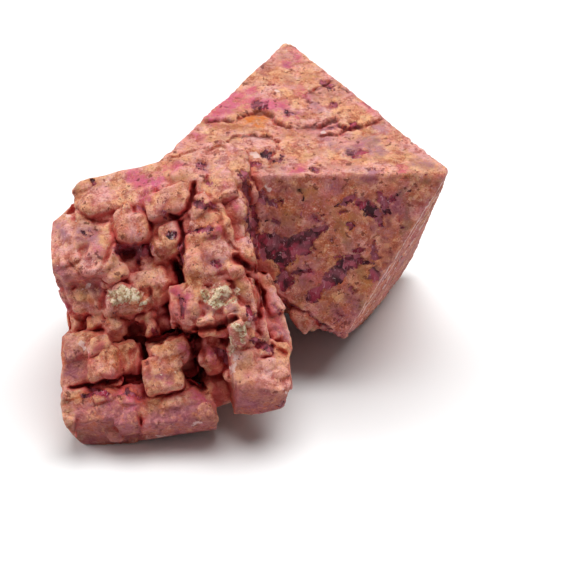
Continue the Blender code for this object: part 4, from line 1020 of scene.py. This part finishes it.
# ---- material --------------------------------------------------------------------
def weathered_spinel():
    made = bpy.data.materials.new("weathered_spinel")
    made.use_nodes = True
    tree = made.node_tree
    add, link = tree.nodes.new, tree.links.new
    shader = tree.nodes["Principled BSDF"]
    where = add("ShaderNodeTexCoord").outputs["Object"]

    def put(socket, value):
        if hasattr(value, "is_output"):
            link(value, socket)
        elif isinstance(value, tuple) and len(value) == 3 and socket.type == "RGBA":
            socket.default_value = (*value, 1.0)
        else:
            socket.default_value = value

    def field(name):
        node = add("ShaderNodeAttribute")
        node.attribute_type = "GEOMETRY"
        node.attribute_name = name
        return node.outputs["Fac"]

    def noise(size, detail=2.0, rough=0.5, distortion=0.0, at=where):
        """size: mm across its largest features."""
        node = add("ShaderNodeTexNoise")
        node.inputs["Scale"].default_value = 1000.0 / size
        node.inputs["Detail"].default_value = detail
        node.inputs["Roughness"].default_value = rough
        node.inputs["Distortion"].default_value = distortion
        link(at, node.inputs["Vector"])
        return node.outputs["Fac"]

    def cell(size, kind="F1", out="Distance", at=where, random=1.0):
        node = add("ShaderNodeTexVoronoi")
        node.feature = kind
        node.inputs["Scale"].default_value = 1000.0 / size
        node.inputs["Randomness"].default_value = random
        link(at, node.inputs["Vector"])
        return node.outputs[out]

    def calc(operation, a, b=0.0, c=0.0):
        node = add("ShaderNodeMath")
        node.operation = operation
        for socket, value in zip(node.inputs, (a, b, c)):
            put(socket, value)
        return node.outputs[0]

    def span(value, low, high, to_low=0.0, to_high=1.0):
        node = add("ShaderNodeMapRange")
        node.interpolation_type = "SMOOTHSTEP"
        for socket, v in zip(node.inputs[:5], (value, low, high, to_low, to_high)):
            put(socket, v)
        return node.outputs[0]

    def mix(share, a, b, how="MIX"):
        node = add("ShaderNodeMix")
        node.data_type = "RGBA"
        node.blend_type = how
        node.clamp_factor = True
        put(node.inputs[0], share)
        put(node.inputs[6], a)
        put(node.inputs[7], b)
        return node.outputs[2]

    fine = noise(0.42, 4.0, 0.62)
    finest = noise(0.16, 3.0, 0.6)
    middle = noise(1.3, 5.0, 0.6, 0.4)
    broad = noise(4.5, 4.0, 0.55)
    other = noise(2.2, 5.0, 0.6, 0.3)
    patch = noise(0.95, 4.0, 0.55, 0.2)
    grains = cell(0.34)
    ragged = calc("ADD", calc("MULTIPLY", calc("SUBTRACT", fine, 0.5), 0.62), calc("MULTIPLY", calc("SUBTRACT", finest, 0.5), 0.25))
    torn = calc("ADD", calc("MULTIPLY", calc("SUBTRACT", fine, 0.5), 1.5), calc("MULTIPLY", calc("SUBTRACT", finest, 0.5), 0.6))

    # the crust: tan, peach and orange, with dirt between its grains
    crust = mix(span(middle, 0.40, 0.58), (0.52, 0.130, 0.062), (0.57, 0.180, 0.098))
    crust = mix(calc("MULTIPLY", span(broad, 0.47, 0.60), 0.65), crust, (0.55, 0.130, 0.098))
    crust = mix(calc("MULTIPLY", field("orange"), calc("MULTIPLY", span(other, 0.28, 0.54), 0.85)), crust, (0.66, 0.165, 0.060))
    # upward faces painted paler: pale dust together with painted sheen of the overhead light
    crust = mix(calc("MULTIPLY", field("dust_and_sheen"), calc("ADD", 0.32, calc("MULTIPLY", span(middle, 0.40, 0.58), 0.50))), crust, (0.76, 0.46, 0.355))
    blush = calc("MULTIPLY", field("blush"), span(other, 0.30, 0.54))
    crust = mix(calc("MULTIPLY", blush, 0.85), crust, (0.74, 0.385, 0.330))
    crust = mix(calc("MULTIPLY", span(other, 0.54, 0.64), 0.70), crust, (0.68, 0.28, 0.175))
    crust = mix(calc("MULTIPLY", span(other, 0.45, 0.36), 0.70), crust, (0.40, 0.092, 0.052))
    # convex edges painted paler, partly wear and partly painted highlight; hollows painted darker red as painted shade
    crust = mix(calc("MULTIPLY", span(field("edge"), 0.54, 0.80), 0.60), crust, (0.78, 0.42, 0.32))
    crust = mix(calc("MULTIPLY", span(field("edge"), 0.46, 0.22), 0.60), crust, (0.42, 0.052, 0.034))
    crust = mix(calc("MULTIPLY", span(patch, 0.54, 0.62), 0.68), crust, (0.84, 0.44, 0.285))
    crust = mix(calc("MULTIPLY", span(fine, 0.54, 0.64), 0.46), crust, (0.84, 0.50, 0.38))
    calm = calc("SUBTRACT", 1.0, calc("MULTIPLY", calc("MAXIMUM", blush, field("mauve")), 0.6))
    crust = mix(calc("MULTIPLY", calc("MULTIPLY", span(patch, 0.465, 0.375), 0.68), calm), crust, (0.33, 0.066, 0.042))
    crust = mix(calc("MULTIPLY", calc("MULTIPLY", span(fine, 0.46, 0.36), 0.52), calm), crust, (0.30, 0.055, 0.032))
    crust = mix(calc("MULTIPLY", calc("MULTIPLY", span(finest, 0.44, 0.34), 0.34), calm), crust, (0.24, 0.048, 0.030))
    # tiny pale grains, partly painted sparkle highlights
    crust = mix(calc("MULTIPLY", span(finest, 0.56, 0.66), 0.34), crust, (0.92, 0.66, 0.55))
    crust = mix(calc("MULTIPLY", field("ochre"), calc("MULTIPLY", span(middle, 0.30, 0.62), 0.75)), crust, (0.47, 0.200, 0.072))
    crust = mix(calc("MULTIPLY", field("red"), calc("MULTIPLY", span(middle, 0.26, 0.52), 0.80)), crust, (0.50, 0.062, 0.052))
    lilac = calc("MULTIPLY", field("lilac"), span(calc("ADD", fine, calc("MULTIPLY", calc("SUBTRACT", middle, 0.5), 0.8)), 0.28, 0.54))
    crust = mix(calc("MULTIPLY", lilac, 0.84), crust, (0.37, 0.165, 0.195))
    pink = calc("MULTIPLY", field("pink"), span(calc("ADD", fine, calc("MULTIPLY", calc("SUBTRACT", other, 0.5), 0.8)), 0.26, 0.60))
    crust = mix(calc("MULTIPLY", pink, 0.85), crust, (0.58, 0.092, 0.185))
    mauve = calc("MULTIPLY", field("mauve"), span(calc("ADD", fine, calc("MULTIPLY", calc("SUBTRACT", middle, 0.5), 1.0)), 0.22, 0.56))
    skin = mix(span(noise(0.9, 5.0, 0.65, 1.2), 0.38, 0.66), (0.23, 0.042, 0.060), (0.46, 0.150, 0.158))
    crust = mix(calc("MULTIPLY", mauve, 0.85), crust, skin)
    stain = calc("MULTIPLY", field("stain"), span(middle, 0.30, 0.60))
    crust = mix(calc("MULTIPLY", stain, 0.60), crust, (0.21, 0.125, 0.065))
    pits = span(grains, 0.16, 0.05)
    pits = calc("MULTIPLY", pits, span(noise(0.9, 2.0), 0.47, 0.58))
    crust = mix(calc("MULTIPLY", pits, 0.8), crust, (0.12, 0.028, 0.022))
    pocks = calc("MULTIPLY", span(noise(0.8, 3.0, 0.55), 0.375, 0.335), 0.8)
    crust = mix(pocks, crust, (0.17, 0.036, 0.026))

    # its hue wanders between ochre and rose
    hue = calc("ADD", calc("MULTIPLY", noise(3.2, 6.0, 0.66, 0.3), 0.8), calc("MULTIPLY", noise(0.35, 3.0), 0.2))
    crust = mix(1.0, crust, mix(span(hue, 0.40, 0.61), (1.0, 0.99, 0.75), (1.0, 0.94, 1.14)), "MULTIPLY")

    # mica: pale yellow-green flakes
    flakes = cell(0.30, "F1", "Color")
    mica_mask = span(calc("ADD", field("mica"), calc("MULTIPLY", ragged, 3.4)), 0.44, 0.62)
    mica = mix(span(flakes, 0.20, 0.80), (0.36, 0.25, 0.11), (0.76, 0.64, 0.44))
    mica = mix(span(fine, 0.54, 0.66), mica, (0.86, 0.76, 0.62))
    mica = mix(span(fine, 0.47, 0.38), mica, (0.34, 0.10, 0.06))
    crust = mix(calc("MULTIPLY", mica_mask, 0.9), crust, mica)

    # bare spinel: dark glassy purple with scratches, and small facets painted bright and dark as painted highlights and
    # painted shade
    bare = span(calc("ADD", field("bare"), torn), 0.485, 0.54)
    stretch = add("ShaderNodeMapping")
    stretch.inputs["Scale"].default_value = (1.0, 0.35, 0.5)
    stretch.inputs["Rotation"].default_value = (0.3, 0.8, 0.5)
    link(where, stretch.inputs["Vector"])
    scratch_noise = noise(0.5, 5.0, 0.7, 1.5, stretch.outputs[0])
    glass = mix(span(noise(1.5, 4.0, 0.6, 0.7), 0.40, 0.62), (0.036, 0.002, 0.008), (0.40, 0.030, 0.068))
    glass = mix(calc("MULTIPLY", span(noise(2.0, 3.0), 0.50, 0.61), 0.50), glass, (0.42, 0.115, 0.155))
    lit_and_shaded_facets = cell(0.75, "F1", "Color", at=where)
    glass = mix(calc("MULTIPLY", span(lit_and_shaded_facets, 0.66, 0.72), 0.60), glass, (0.50, 0.13, 0.18))
    glass = mix(calc("MULTIPLY", span(lit_and_shaded_facets, 0.34, 0.28), 0.60), glass, (0.030, 0.002, 0.006))
    glass = mix(calc("MULTIPLY", span(scratch_noise, 0.57, 0.65), 0.80), glass, (0.64, 0.31, 0.37))
    colour = mix(bare, crust, glass)

    # pale spots and painted highlights; on the side face, painted glint lines
    pale = span(calc("ADD", field("pale"), ragged), 0.47, 0.55)
    colour = mix(calc("MULTIPLY", pale, 0.7), colour, (0.80, 0.60, 0.56))

    colour = mix(calc("MULTIPLY", field("rust"), span(fine, 0.36, 0.56)), colour, (0.62, 0.17, 0.03))
    # painted shade: faces turned from the sky darkened towards deep maroon
    colour = mix(calc("MULTIPLY", field("low"), 0.30), colour, (0.16, 0.022, 0.030), "MIX")

    # painted shade and painted red glow in the gaps: the more closed in a point is, the redder and then darker it is
    # painted
    deep = field("deep")
    kept = calc("SUBTRACT", 1.0, calc("MULTIPLY", bare, 0.8))
    colour = mix(calc("MULTIPLY", calc("MULTIPLY", span(deep, 0.10, 0.40), 0.56), kept), colour, (0.60, 0.078, 0.064))
    colour = mix(calc("MULTIPLY", calc("MULTIPLY", span(deep, 0.36, 0.80), 0.88), kept), colour, (0.38, 0.014, 0.021))
    # painted shade: near black in the top face's cracks and the bottoms of deep gaps
    colour = mix(calc("MULTIPLY", field("dark"), 0.85), colour, (0.09, 0.009, 0.006))
    link(colour, shader.inputs["Base Color"])

    rough = calc("ADD", 0.66, calc("MULTIPLY", mauve, -0.14))
    rough = calc("ADD", rough, calc("MULTIPLY", mica_mask, -0.12))
    rough = calc("ADD", rough, calc("MULTIPLY", bare, calc("SUBTRACT", -0.24, calc("MULTIPLY", span(scratch_noise, 0.45, 0.62), -0.12))))
    link(rough, shader.inputs["Roughness"])
    shader.inputs["Metallic"].default_value = 0.0
    shader.inputs["Specular IOR Level"].default_value = 0.24
    shader.inputs["IOR"].default_value = 1.5
    shader.inputs["Subsurface Weight"].default_value = 0.3
    shader.inputs["Subsurface Radius"].default_value = (1.0, 0.22, 0.16)
    shader.inputs["Subsurface Scale"].default_value = 0.0012

    height = calc("ADD", calc("MULTIPLY", fine, 0.14), calc("MULTIPLY", finest, 0.09))
    height = calc("ADD", height, calc("MULTIPLY", middle, 0.16))
    height = calc("ADD", height, calc("MULTIPLY", calc("MINIMUM", grains, 0.35), 0.16))
    height = calc("MULTIPLY", height, calc("SUBTRACT", 1.0, calc("MULTIPLY", bare, 0.55)))
    height = calc("SUBTRACT", height, calc("MULTIPLY", bare, 0.08))
    height = calc("ADD", height, calc("MULTIPLY", calc("MULTIPLY", scratch_noise, bare), 0.12))
    bump = add("ShaderNodeBump")
    bump.inputs["Strength"].default_value = 1.0
    bump.inputs["Distance"].default_value = 0.001
    link(height, bump.inputs["Height"])
    link(bump.outputs["Normal"], shader.inputs["Normal"])
    return made


spinel = weathered_spinel()

pieces = {}
for name, build in (("large_crystal", large_crystal), ("stepped_crystal", stepped_crystal), ("under_crystals", under_crystals)):
    pieces[name] = build()
    print(name, len(pieces[name][0]), "points", round(time.perf_counter() - started, 1), "s")

everything = joined(pieces.values())
everything_normals = np.vstack([normals(v, f) for v, f in pieces.values()])
closed_in = shelter(everything[0], everything[1], everything_normals, 3.2, 9)
first = 0
for name, (v, f) in pieces.items():
    deep = averaged(closed_in[first : first + len(v)], neighbours(v, f), 3, 0.6)
    first += len(v)
    if name == "large_crystal":
        fields = large_attributes(v, f, deep)
    else:
        fields = stepped_attributes(v, f, deep)
    finished(name, v, f, fields, spinel)

for obj in list(scratch.objects):
    bpy.data.objects.remove(obj)
bpy.data.collections.remove(scratch)

# ---- floor, light and camera -----------------------------------------------------
bpy.ops.mesh.primitive_plane_add(size=3.0, location=(0, 0, -0.00002))
floor = bpy.context.object
floor.name = "floor"
paper = bpy.data.materials.new("white_floor")
paper.use_nodes = True
surface = paper.node_tree.nodes["Principled BSDF"]
surface.inputs["Base Color"].default_value = (0.93, 0.93, 0.93, 1)
surface.inputs["Roughness"].default_value = 0.9
surface.inputs["Specular IOR Level"].default_value = 0.2
floor.data.materials.append(paper)


def area_light(name, place, aim, size, power, colour=(1, 1, 1)):
    light = bpy.data.lights.new(name, "AREA")
    light.shape = "DISK"
    light.size = size
    light.energy = power
    light.color = colour
    obj = bpy.data.objects.new(name, light)
    bpy.context.scene.collection.objects.link(obj)
    obj.location = place
    obj.rotation_euler = (Vector(aim) - Vector(place)).to_track_quat("-Z", "Y").to_euler()
    return obj


area_light("overhead_softbox", (0.09, 0.05, 0.55), (0, 0, 0.01), 0.60, 3.85)
area_light("left_softbox", (-0.50, -0.02, 0.26), (0, 0, 0.01), 0.40, 1.45)

world = bpy.data.worlds.new("studio")
world.use_nodes = True
world.node_tree.nodes["Background"].inputs["Color"].default_value = (1, 1, 1, 1)
world.node_tree.nodes["Background"].inputs["Strength"].default_value = 0.185
bpy.context.scene.world = world

lens = bpy.data.cameras.new("camera")
lens.sensor_width = 36.0
lens.lens = 36 * 159.1 / 69.6
lens.clip_start = 0.001
camera = bpy.data.objects.new("camera", lens)
bpy.context.scene.collection.objects.link(camera)
camera.matrix_world = Matrix.Translation(SHIFT * 0.001) @ Matrix.Rotation(TILT, 4, "X") @ Matrix.Translation((0, 0, EYE_W * 0.001))
bpy.context.scene.camera = camera

bpy.context.scene.view_settings.view_transform = "Standard"
bpy.context.scene.view_settings.look = "None"
bpy.context.scene.view_settings.exposure = 0.0
bpy.context.scene.view_settings.gamma = 1.0
